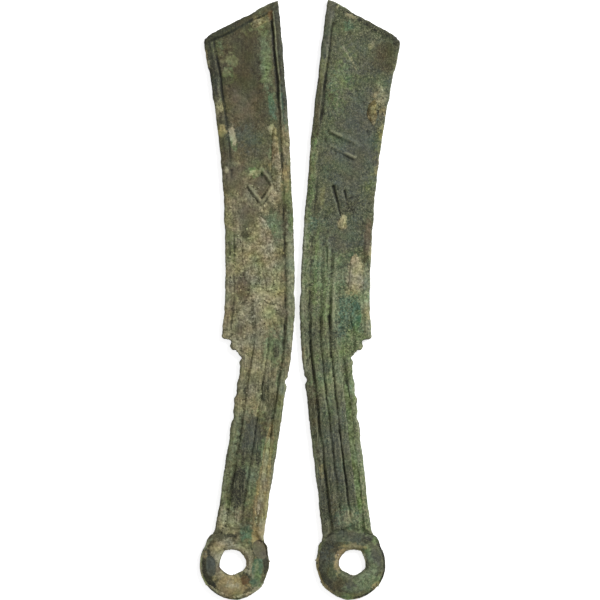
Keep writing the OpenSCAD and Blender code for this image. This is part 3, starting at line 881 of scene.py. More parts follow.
REVERSE_COVERS: dict[Tint, tuple[Cover, ...]] = {
    Tint.EARTH: (
        Stain(-0.4, 120.2, 0.7, 1.3, 0.8, 20), Stain(-2.7, 107.0, 1.8, 4.0, 0.8),
        Stain(-3.1, 101.0, 0.9, 3.0, 0.85, 5), Stain(1.2, 66.4, 2.1, 4.6),
    ),
    Tint.UMBER: (
        Stain(-3.6, 117.6, 2.8, 3.4, 1.1, 7), Stain(8.2, 108.0, 1.2, 3.0, 0.8, 7),
        Stain(-0.5, 99.5, 1.6, 2.6, 0.8, 7), Stain(-0.9, 73.7, 0.8, 4.0, 0.9),
        Stain(9.7, 35.0, 1.4, 8.8, 0.85, -6), Stain(4.6, 14.7, 1.4, 7.5, 0.7, -6),
        Stain(3.5, 4.5, 3.0, 2.0, 0.8, -40), Stain(2.2, -5.3, 2.5, 1.8, 0.85),
        Band(Rim.BACK, 0.9, 1.0, 98.0, 118.0, 0.8), Band(Rim.BACK, 0.8, 1.2, 10.0, 44.0, 0.8),
    ),
    Tint.OLIVE: (
        Stain(5.1, 116.5, 2.2, 5.0, 0.55, 7), Stain(10.3, 115.0, 0.9, 4.6, 0.8, 7),
        Stain(-2.6, 96.0, 0.8, 2.5, 0.85, 5), Stain(12.1, 92.5, 1.0, 4.4, 0.9, 5),
        Stain(-1.0, 88.7, 1.6, 3.2, 0.8), Stain(9.7, 84.8, 0.7, 3.0, 0.8), Stain(-2.3, 2.5, 1.4, 1.6, 0.85),
        Stain(7.4, 0.4, 0.5, 4.5, 0.9),
        Arc(7.3, 0.8, 190.0, 300.0, 0.9),
    ),
    Tint.VERDIGRIS: (
        Stain(7.0, 66.0, 7.0, 13.0, 0.66), Stain(5.0, 45.0, 6.0, 8.0, 0.7),
        Stain(2.2, 44.4, 1.2, 3.9, 0.95, -5), Stain(-2.6, 10.6, 2.0, 2.8, 1.2),
        Stain(-3.9, -3.4, 3.0, 2.5, 0.85),
        Arc(5.4, 1.4, 130.0, 200.0, 0.8), Arc(5.6, 1.2, 190.0, 290.0, 0.65),
    ),
    Tint.TEAL: (
        Stain(5.1, 124.3, 1.4, 1.2, 0.8), Stain(7.2, 111.5, 2.3, 2.5, 0.8),
        Stain(12.0, 78.3, 1.2, 1.8, 0.9), Stain(2.3, 71.2, 1.4, 1.2, 0.9), Stain(2.2, 57.4, 2.5, 4.6, 1.3),
        Stain(1.0, 11.0, 2.4, 2.6, 0.95),
    ),
    Tint.SAGE: (
        Stain(6.0, 110.0, 2.6, 5.0, 0.42, 7), Stain(-1.4, 59.0, 0.9, 4.6, 0.9),
        Stain(5.6, 38.0, 3.0, 8.0, 0.6, -6), Stain(0.9, 35.0, 1.3, 9.0, 1.3, -6),
        Stain(-2.0, 18.0, 1.3, 9.5, 1.1, -6), Stain(1.0, 10.8, 2.1, 2.3, 0.7),
        Band(Rim.BACK, 0.3, 0.5, 10.0, 32.0, 0.65), Band(Rim.BACK, 0.5, 0.8, 54.0, 82.0, 0.7),
        Band(Rim.BACK, 0.3, 0.7, 44.0, 54.0, 1.0), Band(Rim.BACK, 7.7, 0.5, 54.0, 68.0, 0.7),
        Band(Rim.EDGE, 0.8, 1.2, 54.0, 68.0, 1.6), Band(Rim.EDGE, 1.0, 1.2, 12.0, 46.0, 1.1),
    ),
    Tint.SOOT: (
        Stain(-6.5, 121.0, 1.0, 1.0, 1.0), Stain(-3.0, 104.5, 1.2, 1.0, 0.8),
        Stain(3.0, 83.0, 2.0, 3.0, 0.7), Stain(3.0, 20.0, 2.5, 6.0, 0.5, -6),
        Stain(6.9, 14.7, 0.9, 7.5, 0.8, -6),
        Band(Rim.BACK, 1.7, 0.5, 100.0, 114.0, 0.9), Band(Rim.TIP, 0.3, 0.6, 118.0, 130.0, 1.2),
        Band(Rim.BACK, 1.5, 0.5, 8.0, 30.0, 0.8),
        # These arcs darken the ring's outer bevel and the band inside it: painted shade over dark patina
        Arc(6.8, 0.9, -50.0, 80.0, 1.4), Arc(7.9, 0.4, 130.0, 290.0, 0.9), Arc(6.9, 0.8, 80.0, 130.0, 1.0),
    ),
    Tint.OCHRE: (
        Stain(-3.6, 104.2, 0.6, 1.4, 1.0), Stain(-3.6, 98.9, 0.9, 1.8, 0.9),
        Stain(-2.9, 92.0, 0.9, 1.8, 0.9), Stain(7.5, 21.3, 0.6, 1.4, 0.9, -6),
        Stain(-0.6, 4.1, 2.8, 0.8, 0.85), Stain(3.0, -0.2, 0.9, 2.8, 0.8), Stain(-6.1, -4.8, 1.1, 1.1, 0.9),
        # The first arc lightens part of the ring's outer bevel: painted light that offsets its shade
        Arc(7.7, 0.5, -60.0, 15.0, 0.85), Arc(3.7, 0.7, 20.0, 130.0, 0.85),
    ),
    Tint.RUST: (
        Stain(-1.4, 106.3, 0.8, 0.8, 0.9), Stain(-2.5, 92.8, 0.7, 0.7),
    ),
    Tint.SLATE: (
        Stain(4.0, 113.0, 6.0, 10.0, 0.55, 7), Stain(-5.2, 111.5, 0.8, 1.6, 0.8),
        Stain(1.9, 98.0, 3.8, 4.2, 1.1), Stain(2.5, 97.0, 6.0, 13.0, 0.95, 7),
        Stain(4.0, 76.0, 4.5, 6.0, 0.7, 7), Stain(4.9, 74.4, 4.5, 2.8, 0.9),
        Stain(7.5, 45.6, 1.5, 2.0, 0.85), Stain(4.5, 26.0, 4.5, 16.0, 0.7, -6),
        Stain(1.5, 6.5, 3.8, 1.2, 1.0), Stain(-5.6, 2.2, 1.0, 2.2, 0.9, -20),
        Stain(5.6, 0.8, 1.6, 5.0, 0.55), Stain(-0.3, -5.0, 1.6, 1.1, 0.7),
        Band(Rim.BACK, 0.9, 1.1, 116.0, 132.0, 0.9), Band(Rim.BACK, 0.5, 0.7, 8.0, 32.0, 0.5),
    ),
    Tint.PLUM: (
        Band(Rim.EDGE, 0.9, 0.9, 72.0, 80.0, 0.9),
    ),
    Tint.LIME: (
        Stain(6.4, 111.0, 3.0, 8.0, 0.52, 7), Stain(1.0, 50.2, 2.4, 3.0, 1.8),
        Stain(0.8, 50.0, 1.7, 2.1, 1.1), Stain(1.6, 45.0, 1.5, 2.1, 0.85), Stain(1.0, 42.8, 1.1, 1.8, 1.1),
        Stain(0.8, 34.0, 1.4, 9.0, 0.55, -6), Stain(-2.2, 17.3, 1.4, 10.5, 0.7, -6),
        Stain(-2.9, 9.4, 1.1, 1.6, 1.1), Stain(-5.7, 5.9, 1.0, 1.0, 0.9), Stain(0.8, -7.7, 1.6, 0.6, 0.85),
        Band(Rim.BACK, 1.0, 0.9, 62.0, 100.0, 0.52), Band(Rim.BACK, 3.3, 0.7, 56.0, 80.0, 0.6),
        Band(Rim.BACK, 5.7, 0.6, 54.0, 74.0, 0.7), Band(Rim.EDGE, 0.8, 1.3, 10.0, 44.0, 0.4),
    ),
    Tint.CREAM: (
        Stain(7.7, 128.7, 0.4, 0.4, 0.9), Stain(4.5, 126.5, 1.4, 0.6, 0.8, 27),
        Stain(5.6, 119.0, 0.16, 2.4, 0.6, -42), Stain(4.8, 117.4, 0.22, 4.0, 0.6, -32),
        Stain(3.4, 115.4, 0.16, 2.4, 0.6, -24), Stain(-3.3, 110.0, 0.6, 0.6, 0.7),
        Stain(4.8, 78.8, 1.0, 1.8, 0.85, 15), Stain(-1.9, 72.3, 0.6, 1.6, 0.7),
        Stain(1.3, 66.4, 1.6, 3.4, 1.15), Stain(2.7, 63.3, 0.9, 1.3, 0.7), Stain(12.8, 48.3, 0.5, 2.0, 0.7),
        Stain(-2.3, 16.0, 0.9, 8.0, 0.5, -6), Stain(-3.2, 1.5, 0.5, 1.5, 0.75),
        Stain(3.0, 0.6, 0.5, 1.6, 0.4),
        Band(Rim.EDGE, 0.7, 0.9, 54.0, 64.0, 0.55),
    ),
}


@dataclass(frozen=True)
class Line:
    """A fine line along a rim, raised where its height is positive and sunk where it is negative."""

    face: Face
    rim: Rim
    inset: float
    half_w: float
    height: float
    low: float
    high: float

    FADE = 1.25

    def lift(self, region: Region) -> np.ndarray:
        """Height that the line adds at each point.

        Args:
            region: the points.

        Returns:
            The heights.
        """
        across = bell(region.inset(self.rim) - self.inset, self.half_w)
        run = stretch(region.points, self.low + self.FADE, self.high - self.FADE, self.FADE)
        return self.height * across * run


@dataclass(frozen=True)
class Fill:
    """A stretch where wear and corrosion have brought a rim and the field beside it towards one level."""

    face: Face
    rim: Rim
    level: float
    reach: float
    share: float
    low: float
    high: float

    FADE = 4.0
    FULL = 0.4

    def shift(self, region: Region) -> np.ndarray:
        """How far each point of the face rises.

        Args:
            region: the points.

        Returns:
            The rises, negative where the face sinks.
        """
        near = 1.0 - smooth_step(region.inset(self.rim), self.FULL * self.reach, self.reach)
        run = stretch(region.points, self.low, self.high, self.FADE)
        return self.share * near * run * (self.level - np.abs(region.points[:, 2]))


@dataclass(frozen=True)
class Dent:
    """A flat place with a sharp border, where the skin was struck or a crust flaked off."""

    face: Face
    x: float
    y: float
    half_x: float
    half_y: float
    depth: float
    turn: float = 0.0
    tint: Tint = Tint.PLUM

    SQUARENESS = 2.6
    BORDER = (0.8, 1.05)

    def mask(self, points: np.ndarray) -> np.ndarray:
        """1 at points inside the place and 0 outside.

        Args:
            points: places in the coin's millimetres, one row each.

        Returns:
            The shares.
        """
        along_x, along_y = turned(points, self.x, self.y, self.turn)
        reach = np.abs(along_x / self.half_x) ** self.SQUARENESS
        reach = (reach + np.abs(along_y / self.half_y) ** self.SQUARENESS) ** (1.0 / self.SQUARENESS)
        return 1.0 - smooth_step(reach, *self.BORDER)


@dataclass(frozen=True)
class Bar:
    """A plain bar of a generic mark, raised where its height is positive and cut where it is negative."""

    face: Face
    start: tuple[float, float]
    end: tuple[float, float]
    half_w: float = 0.36
    height: float = 0.34
    taper: float = 0.0

    FLANK = (0.45, 1.8)

    def lift(self, points: np.ndarray) -> np.ndarray:
        """Height that the bar adds at each point.

        Args:
            points: places in the coin's millimetres, one row each.

        Returns:
            The heights.
        """
        start, end = np.array(self.start), np.array(self.end)
        run = end - start
        share = np.clip(((points[:, :2] - start) @ run) / (run @ run), 0.0, 1.0)
        gap = np.linalg.norm(points[:, :2] - start - share[:, None] * run, axis=1)
        gap = gap / (self.half_w * (1.0 - self.taper * share))
        return self.height * (1.0 - self.taper * share) * (1.0 - smooth_step(gap, *self.FLANK))


@dataclass(frozen=True)
class Nick:
    """A chip out of the outline, or a bump on it where the depth is negative."""

    x: float
    y: float
    reach: float
    depth: float

    LEAST_SLOPE = 0.2

    def shift(self, points: np.ndarray, normals: np.ndarray) -> np.ndarray:
        """How far each point moves in the coin's plane.

        Args:
            points: places in the coin's millimetres, one row each.
            normals: the surface's normals there.

        Returns:
            The moves in X and Y.
        """
        gap = np.hypot(points[:, 0] - self.x, points[:, 1] - self.y) / self.reach
        amount = -self.depth * np.clip(1.0 - gap * gap, 0.0, 1.0) ** 2
        slope = np.maximum(np.linalg.norm(normals[:, :2], axis=1), self.LEAST_SLOPE)
        return normals[:, :2] / slope[:, None] * amount[:, None]


@dataclass(frozen=True)
class Corner:
    """A place where the outline's corners are worn round."""

    x: float
    y: float
    reach: float
    share: float

    FULL = 0.6

    def mask(self, points: np.ndarray) -> np.ndarray:
        """Share of the rounding at each point."""
        gap = np.hypot(points[:, 0] - self.x, points[:, 1] - self.y)
        return self.share * (1.0 - smooth_step(gap, self.FULL * self.reach, self.reach))


LINES: tuple[Line, ...] = (
    Line(Face.OBVERSE, Rim.BACK, 1.9, 0.28, -0.16, 104.0, 128.0),
    Line(Face.OBVERSE, Rim.BACK, 2.0, 0.22, -0.18, 86.0, 102.0),
    Line(Face.OBVERSE, Rim.BACK, 2.2, 0.22, -0.17, 50.0, 84.0),
    Line(Face.OBVERSE, Rim.BACK, 1.35, 0.14, 0.12, 94.0, 128.0),
    Line(Face.OBVERSE, Rim.BACK, 1.0, 0.13, -0.12, 94.0, 128.0),
    Line(Face.OBVERSE, Rim.EDGE, 1.0, 0.18, -0.12, 54.0, 122.0),
    Line(Face.OBVERSE, Rim.EDGE, 1.6, 0.16, 0.08, 88.0, 122.0),
    Line(Face.OBVERSE, Rim.EDGE, 2.2, 0.24, -0.2, 88.0, 122.0),
    Line(Face.OBVERSE, Rim.EDGE, 1.95, 0.2, -0.16, 54.0, 86.0),
    Line(Face.OBVERSE, Rim.TIP, 1.3, 0.22, -0.14, 119.0, 132.0),
    Line(Face.REVERSE, Rim.BACK, 1.85, 0.2, -0.14, 108.0, 127.0),
    Line(Face.REVERSE, Rim.BACK, 1.7, 0.37, -0.24, 101.0, 112.0),
    Line(Face.REVERSE, Rim.BACK, 2.1, 0.2, -0.12, 56.0, 98.0),
    Line(Face.REVERSE, Rim.BACK, 4.7, 0.5, -0.18, 50.0, 82.0),
    Line(Face.REVERSE, Rim.BACK, 6.8, 0.5, -0.18, 50.0, 76.0),
    Line(Face.REVERSE, Rim.BACK, 8.5, 0.45, -0.16, 50.0, 70.0),
    Line(Face.REVERSE, Rim.BACK, 3.3, 0.55, 0.14, 50.0, 84.0),
    Line(Face.REVERSE, Rim.BACK, 5.7, 0.55, 0.14, 50.0, 78.0),
    Line(Face.REVERSE, Rim.BACK, 7.7, 0.45, 0.14, 50.0, 72.0),
    Line(Face.REVERSE, Rim.EDGE, 1.5, 0.16, -0.07, 56.0, 80.0),
    Line(Face.REVERSE, Rim.TIP, 0.9, 0.16, -0.06, 119.0, 132.0),
)
FILLS: tuple[Fill, ...] = (
    Fill(Face.REVERSE, Rim.EDGE, 0.5, 4.5, 0.75, 56.0, 124.0),
    Fill(Face.REVERSE, Rim.TIP, 0.5, 4.5, 0.75, 116.0, 136.0),
    Fill(Face.REVERSE, Rim.BACK, 0.56, 4.0, 0.45, 62.0, 100.0),
    Fill(Face.OBVERSE, Rim.BACK, 0.58, 4.0, 0.5, 56.0, 96.0),
    Fill(Face.OBVERSE, Rim.EDGE, 0.54, 4.5, 0.55, 56.0, 104.0),
    Fill(Face.OBVERSE, Rim.TIP, 0.56, 3.0, 0.4, 116.0, 136.0),
)
DENTS: tuple[Dent, ...] = (
    Dent(Face.OBVERSE, 6.0, 3.5, 1.6, 2.4, 0.3, 30.0),
    Dent(Face.OBVERSE, -5.4, -0.3, 1.1, 2.5, 0.2, 8.0, Tint.SLATE),
    Dent(Face.OBVERSE, 2.0, 64.0, 1.7, 3.2, 0.14, -6.0),
    Dent(Face.OBVERSE, 2.7, 66.6, 1.0, 1.4, 0.12, 10.0),
    Dent(Face.OBVERSE, 1.0, 54.4, 0.9, 1.3, 0.1),
    Dent(Face.OBVERSE, 1.0, 17.6, 1.0, 3.6, 0.12, -6.0, Tint.SOOT),
    Dent(Face.REVERSE, 5.9, 0.6, 1.1, 4.2, 0.16, 4.0, Tint.UMBER),
    Dent(Face.REVERSE, 2.4, 6.2, 3.4, 0.9, 0.16, 0.0, Tint.SLATE),
)
MARKS: tuple[Bar, ...] = (
    Bar(Face.OBVERSE, (6.2, 91.5), (3.4, 87.5)),
    Bar(Face.OBVERSE, (3.4, 87.5), (6.2, 83.5)),
    Bar(Face.OBVERSE, (6.2, 83.5), (9.0, 87.5)),
    Bar(Face.OBVERSE, (9.0, 87.5), (6.2, 91.5)),
    Bar(Face.REVERSE, (2.6, 94.0), (8.2, 96.5)),
    Bar(Face.REVERSE, (2.6, 97.4), (8.2, 99.9)),
    Bar(Face.REVERSE, (7.2, 87.0), (5.2, 80.5), 0.34, -0.32, 0.5),
    Bar(Face.REVERSE, (4.6, 86.2), (3.4, 82.0), 0.28, -0.26, 0.6),
    Bar(Face.REVERSE, (8.1, 73.0), (7.9, 68.0), 0.26, -0.3, 0.3),
)
NICKS: tuple[Nick, ...] = (
    Nick(12.2, 42.2, 1.2, 0.45),
    Nick(0.4, 42.0, 1.3, -0.3),
    Nick(0.0, 38.0, 1.2, -0.3),
    Nick(-0.4, 34.0, 1.2, 0.25),
    Nick(-6.6, 121.5, 1.0, 0.35),
    Nick(-2.6, 3.4, 1.0, 0.25),
    Nick(2.2, 2.9, 0.9, -0.2),
    Nick(-3.4, -0.8, 0.9, 0.2),
    Nick(-5.6, 6.4, 2.4, -0.75),
    Nick(7.0, 4.4, 2.2, -0.5),
    Nick(7.2, -2.8, 3.4, 0.35),
    Nick(-2.7, 52.5, 1.0, -0.35),
    Nick(-0.8, 50.5, 1.3, -0.6),
    Nick(0.1, 48.9, 1.1, 0.6),
    Nick(1.3, 46.7, 1.1, -0.35),
    Nick(8.4, 129.5, 2.8, -0.25),
    Nick(6.0, 128.4, 3.4, -0.38),
    Nick(0.5, 125.4, 3.6, -0.14),
    Nick(-6.0, 118.8, 3.4, -0.26),
    Nick(-3.5, 123.4, 3.0, -0.15),
)
CORNERS: tuple[Corner, ...] = (
    Corner(-1.2, 50.5, 5.0, 0.6),
    Corner(-6.6, 121.4, 2.0, 0.6),
)


@dataclass(frozen=True)
class Mottle:
    """One scale of mottling, in repeats a millimetre, with its shares in the tone and in the bump."""

    scale: float
    octaves: float
    seed: float
    tone: float
    bump: float


MOTTLES: tuple[Mottle, ...] = (
    Mottle(0.35, 3.0, 0.0, 0.14, 0.0),
    Mottle(1.0, 2.0, 1.0, 0.18, 0.35),
    Mottle(2.2, 1.0, 2.0, 0.45, 0.45),
    Mottle(3.8, 1.0, 3.0, 0.34, 0.25),
)


def mottled(board: NodeBoard, at: Socket) -> tuple[Socket, Socket]:
    """Mottling of a corroded surface at four scales, with its pebbles and the grain of its relief.

    Args:
        board: the material's board.
        at: the coin's millimetres.

    Returns:
        The mottling from 0 to 1, and a height for bump.
    """
    tones = []
    bumps = []
    for mottle in MOTTLES:
        value = board.noise(at, mottle.scale, mottle.octaves, 0.6, mottle.seed)
        tones.append((value, mottle.tone))
        if mottle.bump:
            bumps.append((value, mottle.bump))
    loose = board.vector("ADD", at, board.scaled(board.drift(at, scale=1.2, seed=4.0), factor=1.1))
    pebble = board.spread(board.cells(loose, scale=1.25), low=0.15, high=0.65, least=1.0, most=0.0)
    total = board.summed([*tones, (board.attribute("grain"), 0.2), (pebble, 0.12)])
    height = board.summed([*bumps, (pebble, 0.3)])
    swing = board.math("SUBTRACT", board.spread(total, low=0.57, high=0.9), 0.5)
    contrast = board.plus_times(board.attribute("rough"), factor=0.7, base=0.25)
    contrast = board.plus_times(board.attribute("reverse"), factor=0.14, base=contrast)
    return board.plus_times(swing, contrast, 0.5), height


def varied(board: NodeBoard, at: Socket, colour: Socket) -> Socket:
    """Lets the hue of a colour drift from place to place while its lightness stays.

    Args:
        board: the material's board.
        at: the coin's millimetres.
        colour: what is varied.

    Returns:
        The varied colour's socket.
    """
    wide = (0.3, 40.0, (0.4, 0.38, 0.6))
    close = (0.8, 41.0, (0.12, 0.12, 0.2))
    luma = (0.33, 0.34, 0.33)
    least = (-1.0, -0.03, -1.0)
    for scale, seed, reach in (wide, close):
        drift = board.drift(at, scale, seed, 0.0)
        grey = board.add("ShaderNodeVectorMath", {0: drift, 1: luma}, operation="DOT_PRODUCT")
        drift = board.vector("SUBTRACT", drift, grey.outputs["Value"])
        drift = board.vector("MAXIMUM", drift, least)
        factor = board.vector("MULTIPLY_ADD", drift, reach, (1.0, 1.0, 1.0))
        colour = board.vector("MULTIPLY", colour, factor)
    return colour


@dataclass(frozen=True)
class Speckle:
    """Marks of one kind, where noise passes between two levels or, as threads, where it crosses 0.5."""

    scale: float
    octaves: float
    seed: float
    none: float
    full: float
    most: float = 1.0
    least: float = 0.0
    keep: float = 0.6
    threads: bool = False

    def share(self, board: NodeBoard, at: Socket) -> Socket:
        """How strongly the marks show.

        Args:
            board: the material's board.
            at: where noise is read.

        Returns:
            The share's socket.
        """
        value = board.noise(at, self.scale, self.octaves, self.keep, self.seed)
        if self.threads:
            value = board.math("ABSOLUTE", board.math("SUBTRACT", value, 0.5))
        return board.spread(value, self.none, self.full, self.least, self.most)


class MaterialBoard(NodeBoard):
    """A board for a material's nodes that knows its material."""

    def __init__(self, name: str) -> None:
        """Starts an empty material.

        Args:
            name: the material's name.
        """
        self.material = bpy.data.materials.new(name)
        self.material.use_nodes = True
        self.material.node_tree.nodes.clear()
        super().__init__(self.material.node_tree)

    def principled(self, specular: float) -> bpy.types.Node:
        """Adds the material's Principled shader and its output.

        Args:
            specular: the shader's Specular IOR Level.

        Returns:
            The shader node.
        """
        shader = self.add("ShaderNodeBsdfPrincipled", {"Specular IOR Level": specular})
        self.add("ShaderNodeOutputMaterial", {"Surface": shader.outputs[0]})
        return shader


@dataclass(frozen=True)
class Patina:
    """Finish of the bronze: brown-green patina with stains, dark deposits and worn high places, with painted
    shade in hollows, cut lines and along the outer edges, and a painted highlight on the crests.
    """

    obverse: Tone = Tone(srgb(54, 53, 38), srgb(118, 115, 88))
    reverse: Tone = Tone(srgb(45, 50, 38), srgb(110, 116, 91))
    # Near-black green of dark deposits, also used as painted shade in hollows, cut lines and along the outer
    # edges
    deposit_and_shade: Colour = srgb(22, 24, 18)
    # Pale colour of rubbed bronze: the grip's pale streaks, and on the crests wear with a painted highlight
    worn: Colour = srgb(156, 156, 124)
    pale: Colour = srgb(176, 174, 138)
    mossy: Colour = srgb(150, 153, 112)
    furrow: Speckle = Speckle(1.0, 2.0, 32.0, 0.55, 0.38)
    stripe: Speckle = Speckle(1.2, 2.0, 34.0, 0.54, 0.7)
    vein: Speckle = Speckle(1.5, 3.0, 33.0, 0.035, 0.0, 0.35, threads=True)
    curl: Speckle = Speckle(0.85, 1.0, 36.0, 0.07, 0.02, 0.25, keep=0.5, threads=True)
    gap: Speckle = Speckle(2.6, 1.0, 30.0, 0.44, 0.32, 0.32)
    fleck: Speckle = Speckle(2.9, 1.0, 31.0, 0.57, 0.7, 0.34)
    # Ragged strength of the painted shade along the outer edges
    brink: Speckle = Speckle(0.4, 3.0, 37.0, 0.4, 0.55, 0.28, least=0.03, keep=0.7)
    lengthwise: tuple[float, float, float] = (3.0, 0.2, 1.0)
    relief: tuple[float, float] = (0.03, 0.15)
    pit_share: float = 0.5
    hollow_deposit_and_shade_share: float = 0.85
    cut_dirt_and_shade_share: float = 0.62
    crest_wear_and_highlight_share: float = 0.42
    umber_share: float = 0.75
    dark_range: tuple[float, float] = (0.3, 1.0)
    dark_left: float = 0.15
    reverse_gain: float = 0.9
    furrow_gain: float = 0.3
    furrow_least: float = 0.1
    stripe_gain: float = 0.35
    first_seed: float = 10.0
    dry_range: tuple[float, float] = (0.0, 1.3)
    roughness: tuple[float, float] = (0.5, 0.85)
    specular: float = 0.15
    bump_gain: float = 0.8
    bump_least: float = 0.25
    bump_mm: float = 0.17

    def material(self) -> bpy.types.Material:
        """Builds the material, which reads the attributes that CoinCasting writes.

        Returns:
            The material.
        """
        board = MaterialBoard("coin_patina")
        shader = board.principled(self.specular)
        at = board.attribute("coin", "Vector")
        mottle, height = mottled(board, at)
        front = self.obverse.socket(board, mottle)
        rear = self.reverse.socket(board, mottle)
        colour = board.mix(board.attribute("reverse"), front, rear)
        for order, tint in enumerate(Tint):
            share = TONES[tint].share(board, at, board.attribute(tint.value), self.first_seed + order)
            colour = board.mix(share, colour, TONES[tint].socket(board, mottle))
        colour = self.weathered(board, at, varied(board, at, colour))
        board.feed(shader.inputs["Base Color"], colour)
        dry = board.math("ADD", mottle, board.attribute(Tint.EARTH.value))
        board.feed(shader.inputs["Roughness"], board.spread(dry, *self.dry_range, *self.roughness))
        strength = board.plus_times(board.attribute("rough"), self.bump_gain, self.bump_least)
        inputs = {"Strength": strength, "Distance": self.bump_mm * MM, "Height": height}
        board.feed(shader.inputs["Normal"], board.add("ShaderNodeBump", inputs).outputs[0])
        return board.material

    def weathered(self, board: NodeBoard, at: Socket, colour: Socket) -> Socket:
        """Adds furrows, veins, flecks, dark gaps and pits to a colour, then dark deposit with painted shade
        in hollows and cut lines, painted shade along the outer edges, and worn crests with a painted
        highlight.

        Args:
            board: the material's board.
            at: the coin's millimetres.
            colour: what lies under them.

        Returns:
            The weathered colour's socket.
        """
        low, high = self.relief
        rough = board.attribute("rough")
        lined = board.attribute("lined")
        cavity = board.attribute("cavity")
        speckled = board.plus_times(board.attribute("reverse"), self.reverse_gain, 1.0)
        speckled = board.times(rough, speckled)
        along = board.vector("MULTIPLY", at, self.lengthwise)
        dark = board.times(board.attribute(Tint.UMBER.value), self.umber_share)
        dark = board.math("MAXIMUM", board.attribute(Tint.SOOT.value), dark)
        off_dark_tints = board.spread(dark, *self.dark_range, 1.0, self.dark_left)
        furrowed = board.plus_times(lined, self.furrow_gain, self.furrow_least)
        striped = board.times(lined, self.stripe_gain)
        layers = (
            (self.furrow.share(board, along), furrowed, self.deposit_and_shade),
            (self.stripe.share(board, along), striped, self.worn),
            (self.vein.share(board, at), speckled, self.mossy),
            (self.curl.share(board, at), rough, self.deposit_and_shade),
            (self.gap.share(board, at), speckled, self.deposit_and_shade),
            (self.fleck.share(board, at), speckled, self.pale),
            (board.attribute("pit"), self.pit_share, self.deposit_and_shade),
            # Darker in hollows: dark deposit and painted shade
            (board.spread(cavity, -low, -high), self.hollow_deposit_and_shade_share, self.deposit_and_shade),
            # Dark dirt and painted shade in narrow cut lines and cut marks
            (board.attribute("scar"), self.cut_dirt_and_shade_share, self.deposit_and_shade),
            # Painted shade along the outer edges, darkest next to the walls
            (board.attribute("brink"), self.brink.share(board, at), self.deposit_and_shade),
            # Lighter on the crests: wear and a painted highlight, weaker on dark tints
            (board.spread(cavity, low, high, 0.0, self.crest_wear_and_highlight_share), off_dark_tints, self.worn),
        )
        for share, where, tone in layers:
            colour = board.mix(board.times(share, where), colour, tone)
        return colour


@dataclass(frozen=True)
class CrustFinish:
    """Finish of what grew on the bronze: rough, granular and dull."""

    name: str
    tone: Tone
    warm: Tone
    gap: Colour
    patches: Speckle = Speckle(0.5, 3.0, 42.0, 0.35, 0.65, 1.2, least=0.3, keep=0.7)
    grain_gap: tuple[float, float] = (0.45, 0.3)
    gap_share: float = 0.5
    roughness: float = 0.88
    specular: float = 0.1
    bump: float = 0.8
    bump_mm: float = 0.14

    def material(self) -> bpy.types.Material:
        """Builds the material, which reads the attributes coin, grain, warm and rough.

        Returns:
            The material.
        """
        board = MaterialBoard(self.name)
        shader = board.principled(self.specular)
        at = board.attribute("coin", "Vector")
        share, height = mottled(board, at)
        cool = self.tone.socket(board, share)
        hot = self.warm.socket(board, share)
        warmth = board.times(board.attribute("warm"), self.patches.share(board, at))
        colour = varied(board, at, board.mix(warmth, cool, hot))
        gap = board.spread(board.attribute("grain"), *self.grain_gap, 0.0, self.gap_share)
        board.feed(shader.inputs["Base Color"], board.mix(gap, colour, self.gap))
        shader.inputs["Roughness"].default_value = self.roughness
        inputs = {"Strength": self.bump, "Distance": self.bump_mm * MM, "Height": height}
        board.feed(shader.inputs["Normal"], board.add("ShaderNodeBump", inputs).outputs[0])
        return board.material


SOIL = CrustFinish(
    name="burial_soil",
    tone=Tone(srgb(104, 102, 77), srgb(194, 190, 156)),
    warm=Tone(srgb(66, 60, 40), srgb(146, 136, 98)),
    gap=srgb(50, 48, 36),
)
MALACHITE = CrustFinish(
    name="copper_mineral",
    tone=Tone(srgb(78, 89, 57), srgb(150, 162, 117)),
    warm=Tone(srgb(50, 72, 56), srgb(108, 136, 110)),
    gap=srgb(46, 54, 42),
)


@dataclass(frozen=True)
class Unevenness:
    """How much of something is left from place to place: a middle share, its swing with noise, its limits."""

    middle: float
    swing: float
    least: float
    most: float

    def share(self, ripple: np.ndarray) -> np.ndarray:
        """What is left where noise about 0 has these values."""
        return np.clip(self.middle + self.swing * ripple, self.least, self.most)


